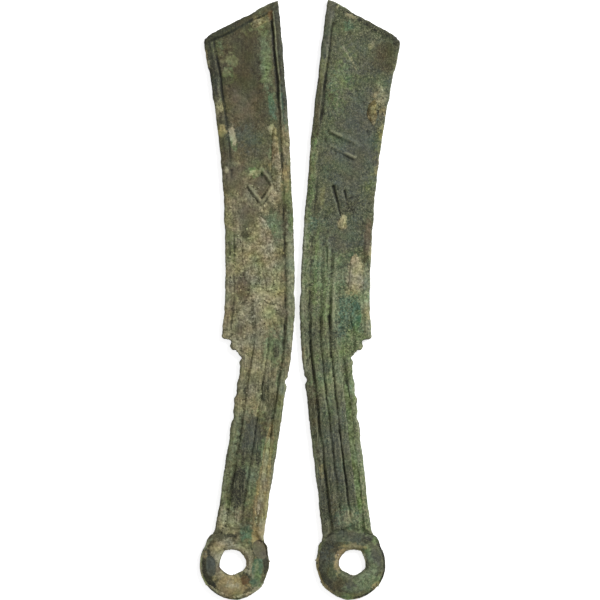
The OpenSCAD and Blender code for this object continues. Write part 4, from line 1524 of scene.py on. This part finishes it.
@dataclass
class CoinCasting:
    """The bronze itself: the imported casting's form with its fine lines, its corrosion and its stains."""

    node: str = "casting"
    voxel: float = 0.222
    weld: float = 0.001

    # Fine lines along the rims, and the plain marks, with dark dirt and painted shade in the narrow cut lines
    line_wear_scale: float = 0.24
    line_wear: Unevenness = Unevenness(0.85, 1.9, 0.1, 1.4)
    mark_wear: tuple[float, float] = (0.5, 1.2)
    cut_dirt_and_shade_line_depth: float = 0.14
    cut_dirt_and_shade_line_w: float = 0.38
    cut_dirt_and_shade_mark_depth: float = 0.5

    # Relief of the faces, and the outer edges
    near_rounds: int = 16
    face_zone: tuple[float, float] = (0.005, 0.08)
    edge_zone: tuple[float, float] = (0.02, 0.6)
    edge_round: float = 0.3
    keen_rounds: int = 60
    field_z: float = 0.375
    blade_sharpen: float = 0.5
    grip_sharpen: float = 1.2
    grip_end: tuple[float, float] = (44.0, 60.0)
    ridge_scale: tuple[float, float] = (0.45, 0.11)
    ridge_wear: Unevenness = Unevenness(0.8, 2.2, -0.3, 1.7)
    crest_scale: float = 0.13
    crest_wear: Unevenness = Unevenness(0.8, 0.9, 0.45, 1.0)
    crest_start: tuple[float, float] = (50.0, 58.0)

    # The ring, its hole, and where the grip meets it
    ring_crest: float = 4.9
    ring_out: float = 8.0
    ring_end: tuple[float, float] = (8.05, 8.4)
    ring_curve: float = 2.2
    ring_drop: float = 0.7
    hole_lip: tuple[float, float] = (3.0, 4.9)
    hole_drop: float = 0.45
    most_drop: float = 0.7
    joint_at: tuple[float, float] = (1.2, 7.8)
    joint_reach: tuple[float, float] = (3.0, 6.5)
    joint_zone: tuple[float, float] = (0.05, 0.3)
    joint_rounds: int = 40
    joint_soft: tuple[float, float] = (0.85, 0.55)
    corner_rounds: int = 24
    hole_waves: tuple[tuple[float, float, float], ...] = ((0.14, 3.0, 0.6), (0.1, 5.0, 2.0), (0.06, 2.0, 0.0))
    hole_reach: tuple[float, float] = (3.2, 4.8)

    # Stains, the texture that goes with them, and painted shade and highlight from the relief and the outer
    # edges
    stain_facing: float = -0.2
    dent_stain: float = 1.4
    plain_rough: float = 0.62
    crusted_rough: float = 0.25
    smooth_rough: float = 0.36
    mineral_rough: float = 0.7
    ring_rough: float = 0.3
    ring_zone: tuple[float, float] = (7.0, 9.5)
    rough_limits: tuple[float, float] = (0.25, 1.0)
    lined_start: tuple[float, float] = (6.5, 10.0)
    lined_end: tuple[float, float] = (44.0, 62.0)
    lined_drop: float = 0.8
    edge_shade_gain: float = 1.7
    edge_shade_rounds: int = 5
    cavity: tuple[tuple[float, int], ...] = ((0.75, 5), (0.25, 26))

    # Corrosion
    swell_height: float = 0.07
    swell_size: float = 4.0
    grain_height: float = 0.09
    grain_size: float = 0.8
    pit_depth: float = 0.12
    pit_size: float = 1.4
    chip_depth: float = 0.18
    chip_size: float = 3.0
    warp: float = 0.3
    warp_size: float = 4.0
    seed: float = 7.0

    def build(self, material: bpy.types.Material) -> Surface:
        """Makes the skin of one coin in its own millimetres.

        Args:
            material: the patina.

        Returns:
            The skin, with every attribute that the patina reads.
        """
        skin = Surface(self.remeshed())
        outline = Outline(skin.points)
        self.draw_lines(skin, outline)
        self.deepen(skin)
        self.wear_faces(skin, outline)
        self.wear_outline(skin)
        self.mark_stains(skin, outline)
        skin.write_points()
        inputs = {
            "Swell Height": self.swell_height,
            "Swell Size": self.swell_size,
            "Grain Height": self.grain_height,
            "Grain Size": self.grain_size,
            "Pit Depth": self.pit_depth,
            "Pit Size": self.pit_size,
            "Chip Depth": self.chip_depth,
            "Chip Size": self.chip_size,
            "Warp": self.warp,
            "Warp Size": self.warp_size,
            "Seed": self.seed,
        }
        tree = self.corrosion_tree(tuple(inputs), material)
        skin = Surface(grown(skin.mesh, tree, inputs))
        skin.pressed()
        skin = Surface(skin.mesh)
        self.finish_attributes(skin)
        skin.mesh.shade_smooth()
        return skin

    def remeshed(self) -> bpy.types.Mesh:
        """Takes over the left casting as an even net of small squares.

        Returns:
            The net in the coin's millimetres.
        """
        mesh = frame["nodes"][f"{LEFT.side}_{self.node}"].data.copy()
        mesh.materials.clear()
        mesh.transform(LEFT.matrix().inverted())
        work = bmesh.new()
        work.from_mesh(mesh)
        bmesh.ops.remove_doubles(work, verts=work.verts, dist=self.weld)
        work.to_mesh(mesh)
        work.free()
        host = hosted(mesh)
        remesh = host.modifiers.new("even_net", "REMESH")
        remesh.mode = "VOXEL"
        remesh.voxel_size = self.voxel
        return evaluated(host)

    def draw_lines(self, skin: Surface, outline: Outline) -> None:
        """Adds the rims' fine lines and the plain marks to the skin, and where they cut in, their dark dirt
        and painted shade.

        Args:
            skin: the coin's skin.
            outline: its plan.
        """
        worn = self.line_wear.share(skin.ripple(self.line_wear_scale))
        scar = np.zeros(skin.count)
        for face in Face:
            there = skin.on(face)
            points = skin.points[there]
            lift = np.zeros(len(points))
            for line in on_face(LINES, face):
                raised = line.lift(Region(points, outline))
                lift += raised
                if line.half_w < self.cut_dirt_and_shade_line_w:
                    scar[there] += np.clip(-raised / self.cut_dirt_and_shade_line_depth, 0.0, 1.0)
            marks = np.array([bar.lift(points) for bar in on_face(MARKS, face)])
            mark = np.where(marks.min(axis=0) < 0.0, marks.min(axis=0), marks.max(axis=0))
            scar[there] += np.clip(-mark / self.cut_dirt_and_shade_mark_depth, 0.0, 1.0)
            lift = lift * worn[there] + mark * np.clip(worn[there], *self.mark_wear)
            skin.points[there, 2] += face.value * lift
        # Dark dirt and painted shade in the narrow cut lines and the cut marks, fading where the lines wear
        # away
        skin.write("scar", scar * np.clip(worn, 0.0, 1.0))

    def deepen(self, skin: Surface) -> None:
        """Sharpens and wears the relief of the faces, and rounds the ring and the outer edges.

        Args:
            skin: the coin's skin.
        """
        wall = skin.walls()
        near = skin.blurred(wall, self.near_rounds)
        self.sharpen(skin, near)
        self.wear_crests(skin, wall)
        self.round_ring(skin, wall)
        self.soften_joint(skin, near)
        skin.points[:, 2] *= 1.0 - self.edge_round * smooth_step(near, *self.edge_zone)

    def sharpen(self, skin: Surface, near: np.ndarray) -> None:
        """Lifts what stands out of the faces, unevenly on the reverse of the grip.

        Args:
            skin: the coin's skin.
            near: nearness of each point to an outer wall.
        """
        keen = skin.points[:, 2] - skin.blurred(skin.points[:, 2], self.keen_rounds)
        on_grip = 1.0 - smooth_step(skin.points[:, 1], *self.grip_end)
        spots = skin.points[:, :2] * np.array(self.ridge_scale)
        gaps = np.array([noise.noise(Vector((x, y, 3.0))) for x, y in spots])
        uneven = self.grip_sharpen * self.ridge_wear.share(gaps)
        gain = self.blade_sharpen + (uneven - self.blade_sharpen) * on_grip * (skin.normals[:, 2] < 0.0)
        skin.points[:, 2] += gain * keen * (1.0 - smooth_step(near, *self.face_zone))

    def wear_crests(self, skin: Surface, wall: np.ndarray) -> None:
        """Wears what stands over the blade's fields, unevenly.

        Args:
            skin: the coin's skin.
            wall: 1 at points of the outer walls.
        """
        kept = self.crest_wear.share(skin.ripple(self.crest_scale))
        kept = 1.0 - (1.0 - kept) * smooth_step(skin.points[:, 1], *self.crest_start)
        proud = np.maximum(np.abs(skin.points[:, 2]) - self.field_z, 0.0)
        skin.points[:, 2] -= np.sign(skin.points[:, 2]) * proud * (1.0 - kept) * (1.0 - wall)

    def round_ring(self, skin: Surface, wall: np.ndarray) -> None:
        """Rounds the ring's outer shoulders and the lip of its hole.

        Args:
            skin: the coin's skin.
            wall: 1 at points of the outer walls.
        """
        reach = np.hypot(skin.points[:, 0], skin.points[:, 1])
        out = np.clip((reach - self.ring_crest) / (self.ring_out - self.ring_crest), 0.0, 1.0)
        drop = out ** self.ring_curve * (1.0 - smooth_step(reach, *self.ring_end))
        from_hole = np.hypot(skin.points[:, 0] - HOLE[0], skin.points[:, 1] - HOLE[1])
        drop = self.ring_drop * drop + self.hole_drop * (1.0 - smooth_step(from_hole, *self.hole_lip))
        drop = np.minimum(drop, np.abs(skin.points[:, 2]) * self.most_drop)
        skin.points[:, 2] -= np.sign(skin.normals[:, 2]) * drop * (1.0 - wall)

    def soften_joint(self, skin: Surface, near: np.ndarray) -> None:
        """Melts the grip's ridges into the ring, more on the obverse.

        Args:
            skin: the coin's skin.
            near: nearness of each point to an outer wall.
        """
        gap = np.hypot(skin.points[:, 0] - self.joint_at[0], skin.points[:, 1] - self.joint_at[1])
        joint = 1.0 - smooth_step(gap, *self.joint_reach)
        joint = joint * (1.0 - smooth_step(near, *self.joint_zone))
        soft = skin.blurred(skin.points[:, 2], self.joint_rounds) - skin.points[:, 2]
        skin.points[:, 2] += np.where(skin.normals[:, 2] > 0.0, *self.joint_soft) * joint * soft

    def wear_faces(self, skin: Surface, outline: Outline) -> None:
        """Levels worn stretches of the rims and sinks the dents.

        Args:
            skin: the coin's skin.
            outline: its plan.
        """
        for face in Face:
            there = skin.on(face)
            for fill in on_face(FILLS, face):
                region = Region(skin.points[there], outline)
                skin.points[there, 2] += face.value * fill.shift(region)
            for dent in on_face(DENTS, face):
                skin.points[there, 2] -= face.value * dent.depth * dent.mask(skin.points[there])

    def wear_outline(self, skin: Surface) -> None:
        """Rounds corners, nicks the outline and makes the hole a little angular.

        Args:
            skin: the coin's skin.
        """
        flat = skin.blurred(skin.points[:, :2], self.corner_rounds) - skin.points[:, :2]
        for corner in CORNERS:
            skin.points[:, :2] += flat * corner.mask(skin.points)[:, None]
        for nick in NICKS:
            skin.points[:, :2] += nick.shift(skin.points, skin.normals)
        away = skin.points[:, :2] - np.array(HOLE)
        reach = np.linalg.norm(away, axis=1)
        angle = np.arctan2(away[:, 1], away[:, 0])
        wave = sum(depth * np.cos(count * angle + start) for depth, count, start in self.hole_waves)
        wave *= 1.0 - smooth_step(reach, *self.hole_reach)
        skin.points[:, :2] += away * (wave / np.maximum(reach, 1.0))[:, None]

    def mark_stains(self, skin: Surface, outline: Outline) -> None:
        """Writes the share of each tint at each point, and what follows from it.

        Args:
            skin: the coin's skin.
            outline: its plan.
        """
        shares = {tint: np.zeros(skin.count) for tint in Tint}
        for face, covers in ((Face.OBVERSE, OBVERSE_COVERS), (Face.REVERSE, REVERSE_COVERS)):
            there = skin.on(face, self.stain_facing)
            region = Region(skin.points[there], outline)
            masks = [(tint, cover.mask(region)) for tint, group in covers.items() for cover in group]
            dents = on_face(DENTS, face)
            masks += [(dent.tint, self.dent_stain * dent.mask(region.points)) for dent in dents]
            for tint, mask in masks:
                shares[tint][there] = np.maximum(shares[tint][there], mask)
        for tint, share in shares.items():
            skin.write(tint.value, share)
        skin.write("reverse", smooth_step(-skin.normals[:, 2], -0.3, 0.3))
        self.mark_texture(skin, shares)

    def mark_texture(self, skin: Surface, shares: dict[Tint, np.ndarray]) -> None:
        """Writes how rough and how furrowed each point is, and the painted shade near the outer walls.

        Args:
            skin: the coin's skin.
            shares: the share of each tint at each point.
        """
        smooth = np.maximum(np.maximum(shares[Tint.UMBER], shares[Tint.SLATE]), shares[Tint.PLUM])
        mineral = np.maximum(shares[Tint.VERDIGRIS], shares[Tint.LIME])
        crusted = np.maximum(shares[Tint.EARTH], self.mineral_rough * mineral)
        rough = self.plain_rough + self.crusted_rough * crusted - self.smooth_rough * np.minimum(smooth, 1.0)
        rough -= self.ring_rough * (1.0 - smooth_step(skin.points[:, 1], *self.ring_zone))
        skin.write("rough", np.clip(rough, *self.rough_limits))
        lined = 1.0 - smooth_step(skin.points[:, 1], *self.lined_end) * self.lined_drop
        skin.write("lined", lined * smooth_step(skin.points[:, 1], *self.lined_start))
        # Painted shade along the outer edges: strongest next to the walls
        brink = self.edge_shade_gain * skin.blurred(skin.walls(), self.edge_shade_rounds)
        skin.write("brink", np.clip(brink, 0.0, 1.0))

    @staticmethod
    def corrosion_tree(names: Sequence[str], material: bpy.types.Material) -> bpy.types.NodeTree:
        """Geometry Nodes that swell, roughen, pit, chip and warp a skin.

        Args:
            names: names of the tree's inputs, all of them numbers.
            material: the skin's finish.

        Returns:
            The tree.
        """
        board, given = new_tree("corrosion", [(name, "NodeSocketFloat") for name in names])
        at = board.add("GeometryNodeInputPosition").outputs[0]
        normal = board.add("GeometryNodeInputNormal").outputs[0]
        rough = board.add("GeometryNodeInputNamedAttribute", {"Name": "rough"}, data_type="FLOAT").outputs[0]
        size = given.outputs
        swing = 4.0

        def wave(name: str, octaves: float, shift: float) -> Socket:
            """Noise at the scale of one of the tree's sizes."""
            scale = board.math("DIVIDE", 1.0, size[name])
            return board.noise(at, scale, octaves, 0.6, board.math("ADD", size["Seed"], shift))

        def lifted(value: Socket, middle: float, height: str) -> Socket:
            """Height up and down from where noise has its middle value."""
            return board.times(board.times(board.math("SUBTRACT", value, middle), swing), size[height])

        patch = wave("Swell Size", 3.0, 0.0)
        grain = wave("Grain Size", 2.0, 1.0)
        pit = board.spread(wave("Pit Size", 2.0, 2.0), 0.6, 0.72)
        bumps = board.times(lifted(grain, 0.5, "Grain Height"), rough)
        height = board.math("ADD", lifted(patch, 0.5, "Swell Height"), bumps)
        height = board.math("SUBTRACT", height, board.times(pit, size["Pit Depth"]))
        level = board.math("ABSOLUTE", board.add("ShaderNodeSeparateXYZ", {0: normal}).outputs[2])
        flat = board.vector("MULTIPLY", normal, (1.0, 1.0, 0.0))
        chip = lifted(wave("Chip Size", 4.0, 3.0), 0.44, "Chip Depth")
        chip = board.times(chip, board.math("SUBTRACT", 1.0, level))
        offset = board.vector("ADD", board.scaled(normal, height), board.scaled(flat, chip))
        scale = board.math("DIVIDE", 1.0, size["Warp Size"])
        drift = board.drift(at, scale, board.math("ADD", size["Seed"], 4.0))
        drift = board.vector("MULTIPLY", drift, (2.0, 2.0, 0.0))
        offset = board.vector("ADD", offset, board.scaled(drift, size["Warp"]))
        moved = board.add("GeometryNodeSetPosition", {"Geometry": size[0], "Offset": offset}).outputs[0]
        for name, value in (("grain", grain), ("pit", pit), ("patch", patch)):
            inputs = {"Geometry": moved, "Name": name, "Value": value}
            stored = board.add("GeometryNodeStoreNamedAttribute", inputs, data_type="FLOAT", domain="POINT")
            moved = stored.outputs[0]
        return close_tree(board, moved, material)

    def finish_attributes(self, skin: Surface) -> None:
        """Writes the attributes that depend on the corroded form.

        Args:
            skin: the corroded skin.
        """
        skin.write("coin", skin.points)
        # The patina darkens hollows with dark deposit and painted shade, and lightens crests with wear and a
        # painted highlight
        skin.write("cavity", sum(weight * skin.relief(rounds) for weight, rounds in self.cavity))
        inner = smooth_step(HALF_T - np.abs(skin.points[:, 2]), 0.12, 0.3)
        level = smooth_step(np.abs(skin.normals[:, 2]), 0.5, 0.9)
        soil = np.maximum(skin.read(Tint.EARTH.value), 0.8 * skin.read(Tint.OCHRE.value))
        green = np.maximum(skin.read(Tint.VERDIGRIS.value), skin.read(Tint.TEAL.value))
        skin.write("soil_grit", inner * level * smooth_step(soil, 0.3, 0.9))
        skin.write("green_grit", inner * level * smooth_step(green, 0.5, 1.0))


@dataclass(frozen=True)
class Crust:
    """One body of soil or mineral, grown on the skin where the frame has its plain solid."""

    node: str
    face: Face
    slot: str
    warmth: float = 0.0
    gain: float = 1.1
    sink: float = 0.07
    root: float = 0.14
    fray: float = 0.7
    margin: float = 1.2
    rough: float = 0.85
    least: float = 0.08
    graininess: float = 1.7
    patches: Unevenness = Unevenness(1.0, 5.0, 0.1, 1.4)
    frays: Unevenness = Unevenness(0.35, 4.0, 0.1, 1.6)

    ABOVE = 5.0
    PATCH_LEVEL = 0.46
    FRAY_LEVEL = 0.45
    EDGE_ROUNDS = 4
    BORDER_ROUNDS = 10
    SOFT_ROUNDS = 2
    COVERED = -0.2

    def thickness(self, skin: Surface) -> np.ndarray:
        """Measures how far the frame's solid stands over the skin.

        Args:
            skin: the finished skin of the coin.

        Returns:
            The height over each point, softened at the solid's border.
        """
        source = frame["nodes"][f"{LEFT.side}_{self.node}"].data
        to_coin = LEFT.matrix().inverted()
        corners = [to_coin @ vertex.co for vertex in source.vertices]
        tree = BVHTree.FromPolygons(corners, [tuple(face.vertices) for face in source.polygons])
        box = np.array(corners)
        low, high = box.min(axis=0) - self.margin, box.max(axis=0) + self.margin
        points = skin.points
        near = skin.on(self.face) & np.all((points[:, :2] > low[:2]) & (points[:, :2] < high[:2]), axis=1)
        over = np.zeros(skin.count)
        down = Vector((0.0, 0.0, -self.face.value))
        for index in np.flatnonzero(near):
            start = Vector((points[index, 0], points[index, 1], self.ABOVE * self.face.value))
            hit = tree.ray_cast(start, down)[0]
            if hit is not None:
                over[index] = max((hit.z - points[index, 2]) * self.face.value, self.least)
        return skin.blurred(over, self.EDGE_ROUNDS)

    def lift(self, skin: Surface) -> np.ndarray:
        """How far the crust's top stands over the skin.

        Args:
            skin: the finished skin of the coin.

        Returns:
            The height over each point, negative where there is no crust.
        """
        over = self.thickness(skin)
        patch = skin.read("patch")
        grainy = 1.0 + self.graininess * (skin.read("grain") - 0.5)
        lift = self.gain * over * self.patches.share(patch - self.PATCH_LEVEL) * grainy - self.sink
        inside = skin.blurred((over > 0.0).astype(float), self.BORDER_ROUNDS)
        lift -= self.fray * np.clip(1.0 - inside, 0.0, 0.5) * self.frays.share(patch - self.FRAY_LEVEL)
        return skin.blurred(lift, self.SOFT_ROUNDS)

    def build(self, skin: Surface, material: bpy.types.Material) -> bpy.types.Mesh:
        """Makes the crust: a granular top that runs out at a ragged border, on a root inside the bronze.

        Args:
            skin: the finished skin of the coin.
            material: the crust's finish.

        Returns:
            A closed mesh in the coin's millimetres.
        """
        lift = self.lift(skin)
        covered = lift > self.COVERED * self.sink
        quads = skin.quads()
        quads = quads[covered[quads].all(axis=1)]
        used, flat = np.unique(quads, return_inverse=True)
        quads = flat.reshape(-1, 4)
        count = len(used)
        top = skin.points[used].copy()
        top[:, 2] = np.clip(top[:, 2] + self.face.value * lift[used], -HALF_T, HALF_T)
        bottom = skin.points[used].copy()
        bottom[:, 2] -= self.face.value * self.root
        runs = np.concatenate([quads[:, [side, (side + 1) % 4]] for side in range(4)]).tolist()
        known = {(start, end) for start, end in runs}
        border = [(start, end) for start, end in runs if (end, start) not in known]
        walls = [(end, start, start + count, end + count) for start, end in border]
        mesh = bpy.data.meshes.new(self.node)
        points = np.concatenate([top, bottom])
        mesh.from_pydata(points.tolist(), [], quads.tolist() + (quads[:, ::-1] + count).tolist() + walls)
        mesh.materials.append(material)
        mesh.shade_smooth()
        write_attribute(mesh, "coin", points)
        write_attribute(mesh, "grain", np.tile(skin.read("grain")[used], 2))
        write_attribute(mesh, "warm", np.full(2 * count, self.warmth))
        write_attribute(mesh, "rough", np.full(2 * count, self.rough))
        return mesh


CRUSTS: tuple[Crust, ...] = (
    Crust("tip_soil", Face.OBVERSE, "soil", 1.0, gain=0.75),
    Crust("back_soil", Face.OBVERSE, "soil", 0.7, gain=0.75),
    Crust("blade_soil", Face.OBVERSE, "soil", 0.45, gain=0.7, fray=1.0),
    Crust("grip_soil", Face.OBVERSE, "soil", 0.2, gain=1.3, fray=0.35, rough=0.5),
    Crust("ring_soil", Face.OBVERSE, "soil", 0.6),
    Crust("edge_soil", Face.REVERSE, "soil", 1.0),
    Crust("root_soil", Face.REVERSE, "soil", 0.25, gain=0.9),
    Crust("mid_soil", Face.REVERSE, "soil", 0.0, rough=0.7),
    Crust("heel_green", Face.REVERSE, "malachite", 0.95),
    Crust("grip_green", Face.REVERSE, "malachite", 0.1),
)


@dataclass(frozen=True)
class Grit:
    """Loose-looking grains bedded in the skin wherever soil or mineral lies."""

    name: str
    slot: str
    attribute: str
    density: float
    least: float
    most: float
    seed: int

    BRIGHT_SCALE = 1.7
    GRAIN = (0.45, 0.3)
    WARM = (0.15, 0.5)
    LEAST_SHAPE = (0.7, 0.7, 0.45)
    MOST_SHAPE = (1.3, 1.3, 0.75)

    def build(self, skin: Surface, material: bpy.types.Material) -> bpy.types.Mesh:
        """Scatters the grains over the skin.

        Args:
            skin: the finished skin of the coin.
            material: the grains' finish.

        Returns:
            All grains of one coin as a plain mesh in the coin's millimetres.
        """
        inputs = {
            "Mask": self.attribute,
            "Density": self.density,
            "Least Radius": self.least,
            "Most Radius": self.most,
            "Seed": self.seed,
        }
        mesh = grown(skin.mesh.copy(), self.tree(material), inputs)
        for attribute in [layer.name for layer in mesh.attributes if layer.name.startswith("tint_")]:
            mesh.attributes.remove(mesh.attributes[attribute])
        grains = Surface(mesh)
        grains.pressed()
        bright = grains.ripple(self.BRIGHT_SCALE)
        grains.write("coin", grains.points)
        grains.write("grain", self.GRAIN[0] + self.GRAIN[1] * bright)
        grains.write("warm", np.clip(self.WARM[0] + self.WARM[1] * bright, 0.0, 1.0))
        grains.write("rough", np.ones(grains.count))
        mesh.shade_smooth()
        return mesh

    def tree(self, material: bpy.types.Material) -> bpy.types.NodeTree:
        """Geometry Nodes that set flattened grains on a skin where a mask attribute allows.

        Args:
            material: the grains' finish.

        Returns:
            The tree.
        """
        sockets = [("Mask", "NodeSocketString")]
        sockets += [(name, "NodeSocketFloat") for name in ("Density", "Least Radius", "Most Radius")]
        sockets += [("Seed", "NodeSocketInt")]
        board, given = new_tree(f"{self.name}_scatter", sockets)
        seed = given.outputs["Seed"]
        mask = {"Name": given.outputs["Mask"]}
        share = board.add("GeometryNodeInputNamedAttribute", mask, data_type="FLOAT").outputs[0]
        spread = {"Mesh": given.outputs[0], "Seed": seed}
        spots = board.add("GeometryNodeDistributePointsOnFaces", spread, distribute_method="RANDOM")
        board.feed(spots.inputs["Density"], board.times(share, given.outputs["Density"]))
        size = board.add("FunctionNodeRandomValue", {"Seed": seed}, data_type="FLOAT")
        board.feed(size.inputs[2], given.outputs["Least Radius"])
        board.feed(size.inputs[3], given.outputs["Most Radius"])
        next_seed = {"Seed": board.math("ADD", seed, 1)}
        shape = board.add("FunctionNodeRandomValue", next_seed, data_type="FLOAT_VECTOR")
        shape.inputs[0].default_value = self.LEAST_SHAPE
        shape.inputs[1].default_value = self.MOST_SHAPE
        pebble = board.add("GeometryNodeMeshIcoSphere", {"Radius": 1.0, "Subdivisions": 1})
        inputs = {
            "Points": spots.outputs["Points"],
            "Instance": pebble.outputs["Mesh"],
            "Rotation": spots.outputs["Rotation"],
            "Scale": board.scaled(shape.outputs[0], size.outputs[1]),
        }
        grains = board.add("GeometryNodeInstanceOnPoints", inputs).outputs[0]
        return close_tree(board, grains, material)


GRITS: tuple[Grit, ...] = (
    Grit("soil_grains", "soil", "soil_grit", 0.9, 0.14, 0.36, 11),
    Grit("mineral_grains", "malachite", "green_grit", 0.6, 0.12, 0.28, 23),
)


@dataclass(frozen=True)
class Studio:
    """Pale floor, soft light from the upper right, and a camera straight above, as in the photograph."""

    view_width: float = 0.1386
    aim: tuple[float, float] = (-0.00005, -0.00007)
    top: float = 0.0012
    lens: float = 120.0
    sensor: float = 36.0
    floor_size: float = 6.0
    floor_drop: float = 0.00004
    paper: Colour = (0.8, 0.8, 0.8, 1.0)
    glow: float = 0.7
    key_place: tuple[float, float, float] = (0.42, 0.33, 0.42)
    key_size: float = 0.2
    key_watts: float = 4.6
    fill_place: tuple[float, float, float] = (-0.4, -0.1, 0.5)
    fill_size: float = 0.5
    fill_watts: float = 0.3
    white: Colour = (1.0, 1.0, 1.0, 1.0)
    sky: float = 0.33

    def build(self) -> None:
        """Sets up the floor, the lamps, the world and the camera."""
        self.floor()
        self.lamp("key_light", Vector(self.key_place), self.key_size, self.key_watts)
        self.lamp("fill_light", Vector(self.fill_place), self.fill_size, self.fill_watts)
        self.world()
        self.camera()
        bpy.context.scene.view_settings.view_transform = "Standard"

    @staticmethod
    def shown(board: NodeBoard, lighting: bpy.types.Node, seen: bpy.types.Node) -> Socket:
        """A surface that looks one way to the camera and lights the scene in another.

        Args:
            board: the board of the material or the world.
            lighting: the shader for rays that only bring light.
            seen: the shader for rays that the camera sees, straight, in gloss or through glass.

        Returns:
            The mixed shader's socket.
        """
        path = board.add("ShaderNodeLightPath")
        rays = board.math("MAXIMUM", path.outputs["Is Camera Ray"], path.outputs["Is Glossy Ray"])
        rays = board.math("MAXIMUM", rays, path.outputs["Is Transmission Ray"])
        inputs = {0: rays, 1: lighting.outputs[0], 2: seen.outputs[0]}
        return board.add("ShaderNodeMixShader", inputs).outputs[0]

    def floor(self) -> None:
        """A plain pale floor that keeps the coins' shadows."""
        half = 0.5 * self.floor_size
        corners = [(half * x, half * y, -self.floor_drop) for x, y in ((-1, -1), (1, -1), (1, 1), (-1, 1))]
        mesh = bpy.data.meshes.new("floor")
        mesh.from_pydata(corners, [], [(0, 1, 2, 3)])
        board = MaterialBoard("pale_paper")
        paper = board.add("ShaderNodeBsdfDiffuse", {"Color": self.paper})
        glow = board.add("ShaderNodeEmission", {"Color": self.white, "Strength": self.glow})
        lit = board.add("ShaderNodeAddShader", {0: paper.outputs[0], 1: glow.outputs[0]})
        board.add("ShaderNodeOutputMaterial", {"Surface": self.shown(board, paper, lit)})
        mesh.materials.append(board.material)
        floor = bpy.data.objects.new("floor", mesh)
        bpy.context.scene.collection.objects.link(floor)

    @staticmethod
    def lamp(name: str, place: Vector, size: float, watts: float) -> None:
        """A square soft lamp that points at the middle of the scene.

        Args:
            name: the lamp's name.
            place: where it hangs.
            size: the length of its sides.
            watts: its power.
        """
        light = bpy.data.lights.new(name, "AREA")
        light.size = size
        light.energy = watts
        lamp = bpy.data.objects.new(name, light)
        lamp.location = place
        lamp.rotation_euler = place.to_track_quat("Z", "Y").to_euler()
        bpy.context.scene.collection.objects.link(lamp)

    def world(self) -> None:
        """A white surround that gives a little light from everywhere."""
        world = bpy.data.worlds.new("surround")
        bpy.context.scene.world = world
        world.use_nodes = True
        world.node_tree.nodes.clear()
        board = NodeBoard(world.node_tree)
        soft = board.add("ShaderNodeBackground", {"Color": self.white, "Strength": self.sky})
        white = board.add("ShaderNodeBackground", {"Color": self.white, "Strength": 1.0})
        board.add("ShaderNodeOutputWorld", {"Surface": self.shown(board, soft, white)})

    def camera(self) -> None:
        """A long lens straight above the coins."""
        data = bpy.data.cameras.new("camera")
        data.lens = self.lens
        data.sensor_width = self.sensor
        camera = bpy.data.objects.new("camera", data)
        camera.location = (*self.aim, self.top + self.view_width * self.lens / self.sensor)
        bpy.context.scene.collection.objects.link(camera)
        bpy.context.scene.camera = camera


def main() -> None:
    """Builds the coin once, sets it out twice and lights it."""
    logging.basicConfig(level=logging.INFO, format="%(name)s %(message)s")
    finishes = {"soil": SOIL.material(), "malachite": MALACHITE.material()}
    casting = CoinCasting()
    skin = casting.build(Patina().material())
    pieces = [(skin.mesh, "bronze_skin", "bronze", casting.node)]
    for crust in CRUSTS:
        mesh = crust.build(skin, finishes[crust.slot])
        pieces.append((mesh, f"{crust.node}_crust", crust.slot, crust.node))
    for grit in GRITS:
        pieces.append((grit.build(skin, finishes[grit.slot]), grit.name, grit.slot))
    for piece in pieces:
        for placement in (LEFT, RIGHT):
            placement.set_out(*piece)
    Studio().build()


if __name__ == "__main__":
    main()
